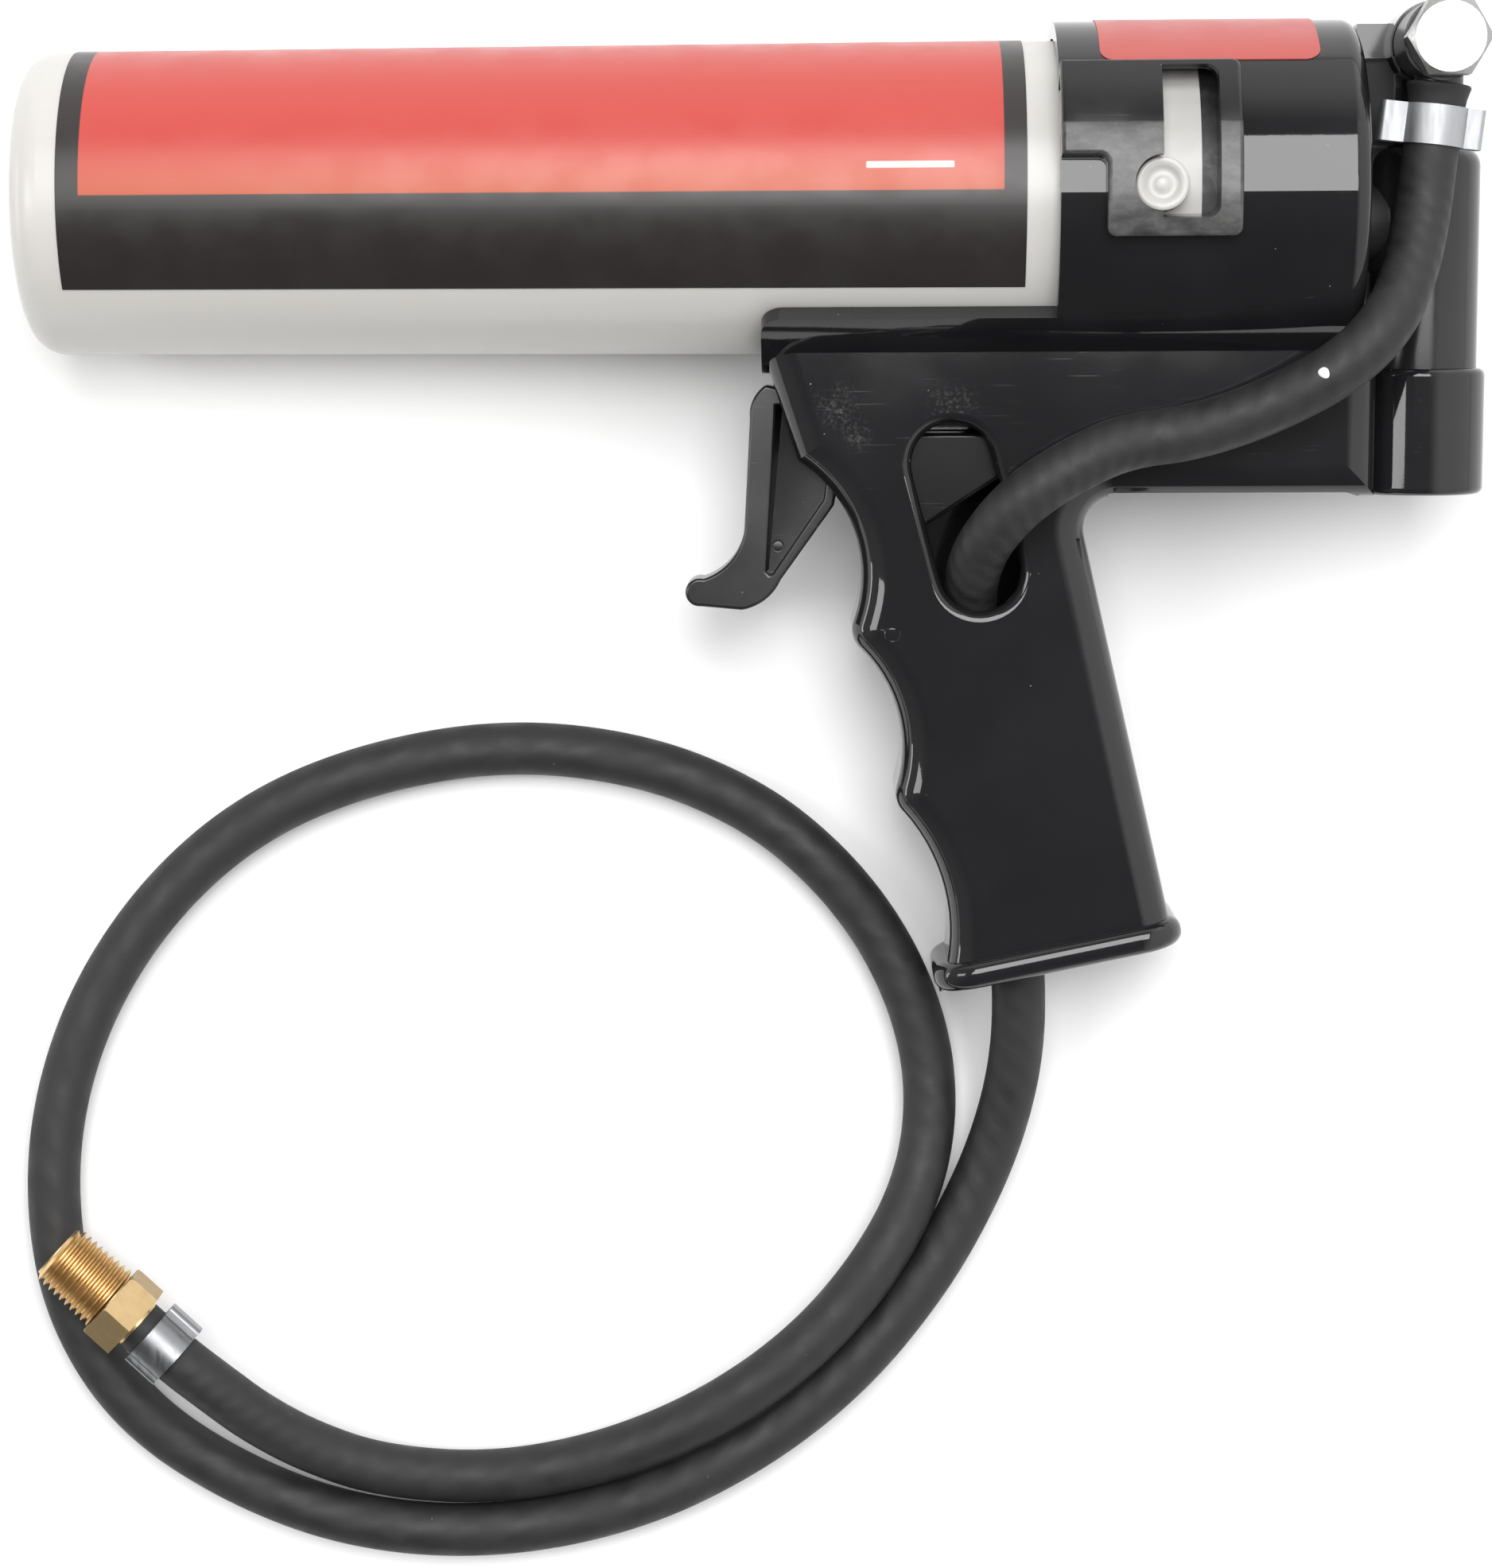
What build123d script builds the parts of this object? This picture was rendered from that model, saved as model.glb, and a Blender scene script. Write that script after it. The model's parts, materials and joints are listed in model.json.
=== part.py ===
from build123d import *
import math
import os

# An air-powered cartridge caulking gun, lying on its right side on a table. Sizes are in millimetres.
# The pieces are drawn in the gun frame: its origin is on the barrel axis at the collar's front face,
# X runs to the rear, Y to the top of the gun and Z out of its left side. Angles about the barrel axis
# are in degrees, start at the left side and grow towards the top.

# Barrel
BARREL_LENGTH = 220.4
BARREL_DEPTH = 25.8
CARTRIDGE_RADIUS = 25.75
BARREL_NOSE_SIDE = 2.85
BARREL_MOUTH_SIDE = 3.75
NOSE_WALL = 3.2
NOSE_ROUND = 6.0
NOZZLE_HOLE_RADIUS = 9.5

# Label on the barrel
LABEL_FRONT = -184.9
LABEL_REAR = -5.9
LABEL_ANGLES = (-35.0, 119.0)
LABEL_THICKNESS = 0.15

# Bayonet pins
PIN_RADIUS = 4.9
PIN_SHANK_RADIUS = 3.0
PIN_X = 18.3
PIN_PROUD = 0.9
PIN_DIMPLE = 1.2
PIN_DIMPLE_RADII = (0.4, 3.2)
LOCK_ANGLE = 2.5
ENTRY_ANGLE = 29.3
PUSH_TRAVEL = 5.15
PIN_CLEARANCE = 0.25
ROOF_CLEARANCE = 0.3

# Collar, with the bayonet frames and the sticker on it
COLLAR_LENGTH = 56.5
COLLAR_WALL = 3.2
COLLAR_BACK_WALL = 4.5
COLLAR_REAR_ROUND = 3.0
BARREL_CLEARANCE = 0.3
FRAME_RISE = 3.5
FRAME_FRONT = 8.3
FRAME_BORDER = 4.1
FRAME_SIDE_BORDER = 3.48
FRAME_ROUND = 0.8
FRAME_CORNER = 1.6
FRAME_DROP = 3.0
SLOT_CORNER = 2.2
SLOT_DRAFT = 0.5
STICKER_FRONT = 7.7
STICKER_REAR = 48.0
STICKER_ANGLES = (47.0, 133.0)
STICKER_CORNER = 3.0
STICKER_THICKNESS = 0.2

# Cradle under the barrel
CRADLE_LENGTH = 54.7
CRADLE_LIP_Y = -21.5
CRADLE_CORNER = 4.0
CRADLE_OVERLAP = 1.0

# Beam and grip
GRIP_HALF = 16.0
GRIP_ROUND = 6.0
GRIP_WALL = 3.0
BEAM_FRONT = -53.2
BEAM_REAR = 60.7
BEAM_BOTTOM = -56.2
BEAM_CEILING = -34.6
BEAM_ROOT = 3.0
GRIP_FRONT_TOP = (-47.8, -49.1)
GROOVE_DEEPS = ((-36.9, -63.5), (-28.5, -99.0), (-19.7, -131.5))
GROOVE_ENDS = ((-38.6, -82.7), (-30.0, -114.0), (-20.6, -151.2))
GROOVE_PEAK_ROUND = 5.0
GRIP_BACK_BOTTOM = (24.3, -141.6)
GRIP_BACK_TOP = 4.6
GRIP_NECK_ROUND = 6.0
BEAD_HALF = 17.8
BEAD_OVERHANG = 1.2
BEAD_SHIFT = 0.6
BEAD_HEIGHT = 5.4
BEAD_ROUND = 2.5
BEAD_CORNER = 8.0

# Keyhole window in the grip's left side
WINDOW_TOP = (-18.7, -49.7)
WINDOW_BOTTOM = (-13.5, -69.9)
WINDOW_RADIUS = 7.75
WINDOW_LIP = 1.9

# Trigger
TRIGGER_PIVOT = (-43.0, -41.5)
TRIGGER_HALF = 6.0
TRIGGER_WEB_HALF = 2.0
TRIGGER_HUB_RADIUS = 5.2
TRIGGER_SIDE_GAP = 0.5
TRIGGER_SLOT_BOTTOM = -66.0
TRIGGER_ARM_HALF = 3.5
NOSE_REACH = 13.1
NOSE_TIP_RADIUS = 2.0
NOSE_GAP = 0.3
TRIGGER_TOP = ((-50.0, -35.8), (-54.0, -35.0))
TRIGGER_BROW = ((-56.0, -37.0), (-57.0, -41.2))
TRIGGER_FINGER = ((-58.1, -62.5), (-60.5, -68.1), (-66.0, -71.9))
TRIGGER_TOE = ((-69.4, -75.0), (-66.5, -77.2))
TRIGGER_HEEL = ((-58.6, -77.9), (-54.6, -76.3), (-51.2, -72.2))
TRIGGER_BACK = (-41.0, -57.9)
TRIGGER_POCKET = [
    (-44.0, -39.0), (-52.0, -39.0), (-53.9, -70.4), (-53.3, -71.1), (-52.7, -70.9), (-43.0, -56.8),
    (-41.4, -46.0),
]
TRIGGER_NECK = ((4.5, -4.0), (2.0, 3.0))
TRIGGER_ARM_FOOT = 12.0

# Rocker lever
LEVER_PIVOT = (8.0, -44.0)
LEVER_HALF = 5.0
LEVER_TOP = -44.2
LEVER_HUB_RADIUS = 5.0
LEVER_FRONT = -31.5
LEVER_FINGER = 2.8
LEVER_BELLY_FRONT = -23.6
LEVER_BELLY_Y = -61.0
LEVER_BELLY_CHAMFER = 1.5
LEVER_KNEE = (-9.6, -53.0)
LEVER_SIDE_GAP = 1.0
LEVER_ROUND = 0.8
CHEEK_FRONT = -29.5
CHEEK_GAP = 0.4
FORK_THICKNESS = 3.0
FORK_SLOT_GAP = 0.4
FORK_OVERHANG = 4.0

# Pivot pins
PIVOT_PIN_RADIUS = 2.0
PIVOT_HOLE_GAP = 0.06
PIVOT_PIN_HALF = 14.6
BOSS_RADIUS = 4.6

# Rear socket and valve column
COLUMN_X = 70.4
SOCKET_WALL = 1.55
SOCKET_TOP = -32.4
SOCKET_FLOOR = 2.0
SOCKET_ROUND = 1.4
SOCKET_LEDGE = 1.2
COLUMN_RADIUS = 10.6
COLUMN_BOTTOM = -38.0
COLUMN_SHOULDER = 9.0
COLUMN_ROUND = 3.5
COLUMN_NECK_RADIUS = 6.0
SOCKET_FIT = 0.05
HEAD_Y = 27.7
HEAD_RADIUS = 8.0
HEAD_HALF = 9.0
HEAD_ROUND = 2.0
ARM_HALF = 5.0
ARM_SPAN = (25.4, 31.8)
ARM_GAP = 0.3
WEB_HALF = 3.5
WEB_BOTTOM = 0.0

# Three-way valve in the column
VALVE_BORE = 4.1
VALVE_FIT = 0.1
LAND_HEIGHT = 4.2
CHAMBER_RADIUS = 6.6
CHAMBER_BOTTOM = -12.0
CHAMBER_TOP = 2.0
LAND_STANDOFF = 1.0
EXHAUST_GAP = 0.4
LOWER_BORE_BOTTOM = -22.0
SUPPLY_TOP = 13.0
SUPPLY_RADIUS = 2.5
SPRING_BORE = 8.0
SPOOL_NECK_RADIUS = 2.2
SPOOL_STEM_RADIUS = 2.0
SPOOL_FLANGE_RADIUS = 6.0
SPOOL_FLANGE_HEIGHT = 1.5
SPOOL_HEAD_RADIUS = 4.0
SPOOL_HEAD_HEIGHT = 2.2
FORK_Y = -42.0
FORK_GAP = 0.3
GUIDE_HEIGHT = 4.0
GUIDE_VENT_RADIUS = 0.9
VALVE_RING_WIRE = 0.65
RING_SEAT_GAP = 0.05
VALVE_SPRING_RADIUS = 4.9
VALVE_SPRING_WIRE = 1.0
VALVE_SPRING_TURNS = 4

# Air way from the column into the collar
PORT_Y = -5.0
TUBE_RADIUS = 4.0
TUBE_BORE = 2.4
TUBE_FLANGE_RADIUS = 7.0
TUBE_FLANGE = 2.0
TUBE_REACH = 6.0
PORT_BOSS_RADIUS = 8.0
PORT_FACE_GAP = 0.2
PORT_RING_WIRE = 0.9
PORT_RING_DEPTH = 1.75

# Sprung seal behind the barrel
GASKET = 3.0
GASKET_BORE = 17.0
GASKET_EDGE_GAP = 0.6
PLATE = 11.2
PLATE_GAP = 0.4
PLATE_BORE = 9.0
PLATE_RING_X = 35.0
PLATE_RING_WIRE = 1.4
PLATE_RING_FIT = 0.06
LOCK_SPRING_RADIUS = 21.0
LOCK_SPRING_WIRE = 2.2
LOCK_SPRING_TURNS = 2
SPRING_END_GAP = 0.1

# Banjo inlet
BANJO_Z = 16.3
BANJO_RADIUS = 7.5
BANJO_HEIGHT = 12.6
BANJO_GROOVE_RADIUS = 6.2
BANJO_GROOVE = 5.0
BOLT_RADIUS = 4.8
BOLT_BORE = 2.4
BOLT_DEPTH = 11.0
BOLT_RUNOUT = 2.0
BOLT_HOLE_RADIUS = 1.6
BOLT_FIT = 0.1
HEX_FLATS = 13.5
HEX_HEIGHT = 5.6
HEX_CHAMFER = 0.35
HEX_CONE_SLOPE = 1.8
WASHER = 1.0
WASHER_RADIUS = 7.0
BARB_NECK_RADIUS = 4.4
BARB_NECK_REACH = 8.1

# Hose, barbs and clamps
HOSE_RADIUS = 5.2
HOSE_BORE = 2.4
BARB_RADIUS = 2.7
BARB_ROOT_RADIUS = 2.3
BARB_PITCH = 4.0
BARB_COUNT = 4
BARB_BORE = 1.5
CLAMP_WIDTH = 7.3
CLAMP_BAND = 0.7
CLAMP_EAR = 4.0
CLAMP_EAR_HALF = 2.6
CLAMP_FIT = 0.05
CLAMP_SETBACKS = (7.4, 6.2)

# Brass end fitting, a 1/4 inch taper pipe thread
PIPE_RADIUS = 6.85
PIPE_PITCH = 1.411
PIPE_TEETH = 9
PIPE_TOOTH = 0.9
PIPE_TAPER = 1 / 32
PIPE_BORE = 3.0
BRASS_FLATS = 14.3
BRASS_HEX = 8.0
BRASS_TURN = 15.0
BRASS_SHOULDER = 0.6

# Points of the hose's route in the table's frame: from the banjo over the beam, in through the window, out of
# the grip's bottom, and round the loop on the table to the brass fitting
HOSE_ROUTE = [
    (125.9, 75.0, 57.7),
    (125.9, 61.5, 56.0),
    (124.5, 51.4, 56.0),
    (121.0, 41.4, 58.7),
    (116.3, 31.3, 62.1),
    (108.3, 22.9, 61.5),
    (96.0, 16.2, 58.0),
    (81.5, 11.2, 55.0),
    (68.8, 9.8, 53.8),
    (59.6, 5.7, 53.0),
    (51.0, 0.3, 52.1),
    (45.2, -5.4, 48.4),
    (41.7, -11.3, 42.5),
    (41.1, -17.2, 34.4),
    (41.9, -25.6, 27.4),
    (43.9, -37.7, 23.1),
    (46.5, -51.3, 20.1),
    (48.8, -65.3, 19.2),
    (50.8, -79.4, 18.6),
    (52.4, -93.4, 17.0),
    (52.2, -108.0, 12.8),
    (49.2, -122.5, 8.2),
    (43.4, -137.0, 5.8),
    (34.4, -152.6, 5.5),
    (20.4, -170.8, 5.5),
    (2.0, -186.4, 5.5),
    (-22.0, -197.4, 5.5),
    (-50.0, -201.8, 5.5),
    (-77.0, -199.0, 5.5),
    (-99.5, -189.4, 5.5),
    (-118.0, -175.2, 5.5),
    (-130.2, -157.8, 5.5),
    (-137.0, -138.6, 5.5),
    (-138.0, -117.4, 5.5),
    (-131.6, -95.0, 5.5),
    (-118.6, -73.6, 5.5),
    (-99.6, -57.8, 5.5),
    (-75.6, -48.9, 5.5),
    (-48.0, -46.6, 5.5),
    (-22.0, -49.8, 5.5),
    (-0.6, -58.0, 5.5),
    (14.8, -70.4, 5.5),
    (25.6, -85.6, 5.5),
    (32.4, -102.8, 5.5),
    (34.2, -119.4, 5.5),
    (30.4, -135.0, 5.5),
    (21.4, -150.6, 5.5),
    (8.4, -165.0, 5.5),
    (-8.6, -177.4, 5.5),
    (-28.8, -186.4, 5.5),
    (-50.8, -189.8, 5.5),
    (-72.0, -188.4, 6.2),
    (-86.6, -184.0, 9.2),
    (-98.0, -178.8, 13.0),
    (-105.2, -172.8, 16.0),
    (-112.2, -165.9, 18.0),
    (-119.5, -159.2, 18.4),
]


def rod(start, end, radius):
    """A round bar from one point to another."""
    way = Vector(*end) - Vector(*start)
    stand = Cylinder(radius, way.length, align=(Align.CENTER, Align.CENTER, Align.MIN))
    return Plane(origin=start, z_dir=way) * stand


def block(x_span, y_span, z_span):
    """A box between pairs of limits."""
    spans = (x_span, y_span, z_span)
    middle = [sum(span) / 2 for span in spans]
    return Pos(*middle) * Box(*[max(span) - min(span) for span in spans])


def ring(middle, way, major, wire):
    """A round sealing ring."""
    return Plane(origin=middle, z_dir=way) * Torus(major, wire)


def sector(inner, outer, x_span, angles):
    """Part of a tube about the barrel axis, with radii given at both ends of its length."""
    corners = [(x_span[0], 0, inner[0]), (x_span[1], 0, inner[1])]
    corners += [(x_span[1], 0, outer[1]), (x_span[0], 0, outer[0])]
    section = make_face(Polyline(*corners, close=True)).rotate(Axis.X, -angles[0])
    return revolve(section, Axis((0, 0, 0), (-1, 0, 0)), angles[1] - angles[0])


def even_sector(inner, outer, x_span, angles):
    """Part of a straight tube about the barrel axis."""
    return sector((inner, inner), (outer, outer), x_span, angles)


def turned(profile):
    """A solid turned about the barrel axis from points of X and radius."""
    return revolve(make_face(Polyline(*profile, close=True)), Axis.X)


def round_corner(face, corner, radius):
    """Round the corner of a flat face that lies nearest a point."""
    return fillet(face.vertices().sort_by_distance((*corner, 0))[0], radius)


def barrel_radius(x):
    """Outside radius of the tapered barrel."""
    return MOUTH_RADIUS - (BARREL_DEPTH - x) / BARREL_LENGTH * (MOUTH_RADIUS - NOSE_RADIUS)


def helix(radius, pitch, turns):
    """A helix about Z as tangent arcs, two for each quarter turn."""
    arcs = []
    steps = turns * 4
    rise = pitch / (2 * math.pi * radius)
    for step in range(steps):
        ends = []
        for turn in (step / 4, (step + 1) / 4):
            angle = turn * 2 * math.pi
            point = Vector(radius * math.cos(angle), radius * math.sin(angle), pitch * turn)
            ends.append((point, Vector(-math.sin(angle), math.cos(angle), rise).normalized()))
        (first, leave), (last, arrive) = ends
        chord = last - first
        along = chord.dot(leave + arrive)
        spread = 2 * (1 - leave.dot(arrive))
        reach = (math.sqrt(along**2 + spread * chord.dot(chord)) - along) / spread
        middle = (first + leave * reach + last - arrive * reach) / 2
        arcs.append(TangentArc(first, middle, tangent=leave))
        arcs.append(TangentArc(middle, last, tangent=arcs[-1] % 1))
    return Wire(arcs)


def least_gap(path, diameter, apart):
    """Least gap of a tube to itself, between points further apart along it than a given length."""
    count = int(path.length)
    points = [path.position_at(index / count) for index in range(count + 1)]
    step = int(apart * count / path.length)
    nearest = min(
        (points[a] - points[b]).length for a in range(count + 1) for b in range(a + step, count + 1)
    )
    return nearest - diameter


def coil(name, radius, wire, turns, height):
    """A spring standing on the XY plane, and its printed gap."""
    rise = height - wire - 2 * SPRING_END_GAP
    path = helix(radius, rise / turns, turns)
    section = Plane(origin=path @ 0, z_dir=path % 0) * Circle(wire / 2)
    print(f"{name}: least gap between turns {least_gap(path, wire, math.pi * radius):.2f}")
    return Pos(0, 0, wire / 2 + SPRING_END_GAP) * sweep(section, path=path)


# Places that follow from the sizes above
NOSE_X = BARREL_DEPTH - BARREL_LENGTH
NOSE_RADIUS = CARTRIDGE_RADIUS + BARREL_NOSE_SIDE
MOUTH_RADIUS = CARTRIDGE_RADIUS + BARREL_MOUTH_SIDE
COLLAR_BORE = MOUTH_RADIUS + BARREL_CLEARANCE
COLLAR_RADIUS = COLLAR_BORE + COLLAR_WALL
PIN_TOP = COLLAR_RADIUS + PIN_PROUD
FRAME_TOP = COLLAR_RADIUS + FRAME_RISE
BEAM_ROOF = BEAM_ROOT - COLLAR_BORE
SOCKET_RADIUS = COLUMN_RADIUS + SOCKET_FIT + SOCKET_WALL
BACK_WALL_X = COLLAR_LENGTH - COLLAR_BACK_WALL
SLOT_HALF = PIN_RADIUS + PIN_CLEARANCE
SLOT_X = (PIN_X, PIN_X + PUSH_TRAVEL + SLOT_HALF)
SLOT_TURN = math.degrees(math.asin(SLOT_HALF / COLLAR_BORE))
BORDER_TURN = math.degrees(FRAME_SIDE_BORDER / FRAME_TOP)
PLATE_FRONT = BARREL_DEPTH + GASKET
PLATE_REAR = PLATE_FRONT + PLATE
SOCKET_BOTTOM = BEAM_BOTTOM
SPOOL_HEAD_TOP = FORK_Y - FORK_THICKNESS / 2 - FORK_GAP
SPOOL_FLANGE_TOP = LOWER_BORE_BOTTOM - LAND_STANDOFF
GUIDE_TOP = COLUMN_BOTTOM + GUIDE_HEIGHT
BANJO_SPAN = (BANJO_Z - BANJO_HEIGHT / 2, BANJO_Z + BANJO_HEIGHT / 2)
HEX_FLOOR = BANJO_SPAN[1] + WASHER
HOSE_START = (COLUMN_X, HEAD_Y - BARB_NECK_REACH, BANJO_Z)


def make_barrel():
    """Tapered tube with a closed nose, a nozzle hole and the holes for its two pins."""
    inside = NOSE_X + NOSE_WALL
    profile = make_face(
        Polyline(
            (NOSE_X, NOZZLE_HOLE_RADIUS),
            (NOSE_X, NOSE_RADIUS),
            (BARREL_DEPTH, MOUTH_RADIUS),
            (BARREL_DEPTH, CARTRIDGE_RADIUS),
            (inside, CARTRIDGE_RADIUS),
            (inside, NOZZLE_HOLE_RADIUS),
            close=True,
        )
    )
    profile = round_corner(profile, (NOSE_X, NOSE_RADIUS), NOSE_ROUND)
    tube = revolve(profile, Axis.X)
    for side in (0, 180):
        tube -= Rot(side - LOCK_ANGLE, 0, 0) * rod((PIN_X, 0, 0), (PIN_X, 0, PIN_TOP), PIN_SHANK_RADIUS)
    return tube


def make_pins():
    """Two headed pins, seated on the barrel's outside and pressed into its wall."""
    core = turned([(0, 0), (0, barrel_radius(0)), (BARREL_DEPTH, MOUTH_RADIUS), (BARREL_DEPTH, 0)])
    head = rod((PIN_X, 0, CARTRIDGE_RADIUS), (PIN_X, 0, PIN_TOP), PIN_RADIUS) - core
    shank = rod((PIN_X, 0, CARTRIDGE_RADIUS + PIN_CLEARANCE), (PIN_X, 0, MOUTH_RADIUS), PIN_SHANK_RADIUS)
    dimple = Pos(PIN_X, 0, PIN_TOP) * Cone(*PIN_DIMPLE_RADII, PIN_DIMPLE)
    pin = head + shank - dimple
    pins = [Rot(side - LOCK_ANGLE, 0, 0) * pin for side in (0, 180)]
    return Part() + pins


def make_label():
    """Label wrapped on the left and top of the barrel."""
    ends = (LABEL_FRONT, LABEL_REAR)
    inner = [barrel_radius(x) for x in ends]
    outer = [radius + LABEL_THICKNESS for radius in inner]
    return sector(inner, outer, ends, LABEL_ANGLES)


def make_sticker():
    """Plain sticker on top of the collar, with rounded corners."""
    sheet = even_sector(
        COLLAR_RADIUS, COLLAR_RADIUS + STICKER_THICKNESS, (STICKER_FRONT, STICKER_REAR), STICKER_ANGLES
    )
    corners = sheet.edges().filter_by(lambda edge: edge.length < 2 * STICKER_THICKNESS)
    return fillet(corners, STICKER_CORNER)


def grip_outline(extra):
    """Side view of the beam and the grip, with the grip's bottom let down by some extra length."""
    front_bottom = Vector(*GROOVE_ENDS[2])
    back_bottom = Vector(*GRIP_BACK_BOTTOM)
    slope = (back_bottom - front_bottom).normalized()
    down = Vector(slope.Y, -slope.X) * extra
    lines = [Polyline((BEAM_FRONT, BEAM_ROOF), (BEAM_FRONT, SOCKET_TOP), GRIP_FRONT_TOP)]
    start = GRIP_FRONT_TOP
    for deep, end in zip(GROOVE_DEEPS, GROOVE_ENDS):
        lines.append(ThreePointArc(start, deep, end))
        start = end
    if extra:
        lines.append(Line(front_bottom, front_bottom + down))
    lines.append(
        Polyline(
            front_bottom + down,
            back_bottom + down,
            (GRIP_BACK_TOP, BEAM_BOTTOM),
            (BEAM_REAR, BEAM_BOTTOM),
            (BEAM_REAR, -COLLAR_RADIUS),
            (BACK_WALL_X, -COLLAR_RADIUS),
            (BACK_WALL_X, BEAM_ROOF),
            (BEAM_FRONT, BEAM_ROOF),
        )
    )
    face = make_face(lines)
    for peak in GROOVE_ENDS[:2]:
        face = round_corner(face, peak, GROOVE_PEAK_ROUND)
    face = round_corner(face, (GRIP_BACK_TOP, BEAM_BOTTOM), GRIP_NECK_ROUND)
    return face


def grip_bottom_plane():
    """Plane across the grip's open bottom, facing down and out, with X along the bottom."""
    front = Vector(*GROOVE_ENDS[2])
    back = Vector(*GRIP_BACK_BOTTOM)
    slope = (back - front).normalized()
    return Plane(origin=(front + back) / 2, x_dir=slope, z_dir=(slope.Y, -slope.X, 0)), (back - front).length


def make_bead():
    """Rolled lip round the grip's open bottom."""
    plane, length = grip_bottom_plane()
    sheet = RectangleRounded(length + 2 * BEAD_OVERHANG, 2 * BEAD_HALF, BEAD_CORNER)
    lip = extrude(plane * Pos(BEAD_SHIFT, 0, 0) * sheet, -BEAD_HEIGHT)
    faces = lip.faces().filter_by(lambda face: abs(face.normal_at().dot(plane.z_dir)) > 0.99)
    return fillet(faces.edges(), BEAD_ROUND)


def radial_edges(solid, length):
    """Straight edges of a solid that run across the barrel axis, behind its front."""
    lines = solid.edges().filter_by(GeomType.LINE)
    across = lines.filter_by(lambda edge: abs(edge.tangent_at(0).X) < 0.1 and edge.center().X > 1)
    return across.filter_by(lambda edge: abs(edge.length - length) < length / 10)


def bayonet_frame(drop):
    """Raised frame round the left bayonet slot, with a roof over the way in, let down by some degrees."""
    angles = (LOCK_ANGLE - SLOT_TURN - BORDER_TURN, ENTRY_ANGLE + SLOT_TURN + BORDER_TURN / 2)
    root = COLLAR_BORE + ROOF_CLEARANCE
    lock = even_sector(root, FRAME_TOP, (FRAME_FRONT, SLOT_X[1] + FRAME_BORDER), angles)
    roof = (ENTRY_ANGLE - SLOT_TURN - BORDER_TURN - drop, angles[1])
    frame = lock + even_sector(root, FRAME_TOP, (0, SLOT_X[0]), roof)
    frame = fillet(radial_edges(frame, FRAME_TOP - root), FRAME_CORNER)
    rim = frame.edges().filter_by(
        lambda edge: math.hypot(edge.center().Y, edge.center().Z) > FRAME_TOP - 1
    )
    return fillet(rim, FRAME_ROUND)


def bayonet_slot():
    """Way of one pin: in under the roof, across the open leg and into the pocket."""
    entry = (ENTRY_ANGLE - SLOT_TURN, ENTRY_ANGLE + SLOT_TURN)
    floor = COLLAR_BORE - 2
    tunnel = even_sector(floor, PIN_TOP + ROOF_CLEARANCE, (-1, SLOT_X[1]), entry)
    leg = even_sector(floor, FRAME_TOP + 2, SLOT_X, (LOCK_ANGLE - SLOT_TURN, entry[1]))
    rear = radial_edges(leg, FRAME_TOP + 2 - floor).sort_by(Axis.X)[-2:]
    leg = fillet(rear, SLOT_CORNER)
    pocket = Rot(-LOCK_ANGLE, 0, 0) * rod((PIN_X, 0, floor), (PIN_X, 0, FRAME_TOP + 2), SLOT_HALF)

    # The leg's upper end is drawn straight out of the mould
    turn = math.radians(entry[1])
    edge = FRAME_TOP * math.sin(turn) - SLOT_DRAFT
    draw = block(SLOT_X, (floor * math.sin(turn) - 1, edge), (floor / 2, FRAME_TOP * math.cos(turn)))
    uprights = draw.edges().filter_by(Axis.Z).sort_by(lambda line: line.center().X + line.center().Y)
    draw = fillet(uprights[-1], SLOT_CORNER)
    return tunnel + leg + pocket + draw


def make_cradle():
    """Trough under the barrel in front of the collar."""
    lip = math.degrees(math.asin(CRADLE_LIP_Y / (COLLAR_BORE + COLLAR_RADIUS) * 2))
    trough = even_sector(COLLAR_BORE, COLLAR_RADIUS, (-CRADLE_LENGTH, CRADLE_OVERLAP), (-180 - lip, lip))
    wall = COLLAR_RADIUS - COLLAR_BORE
    corners = trough.edges().filter_by(
        lambda edge: edge.center().X < wall - CRADLE_LENGTH and abs(edge.length - wall) < wall / 10
    )
    return fillet(corners, CRADLE_CORNER)


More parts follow.
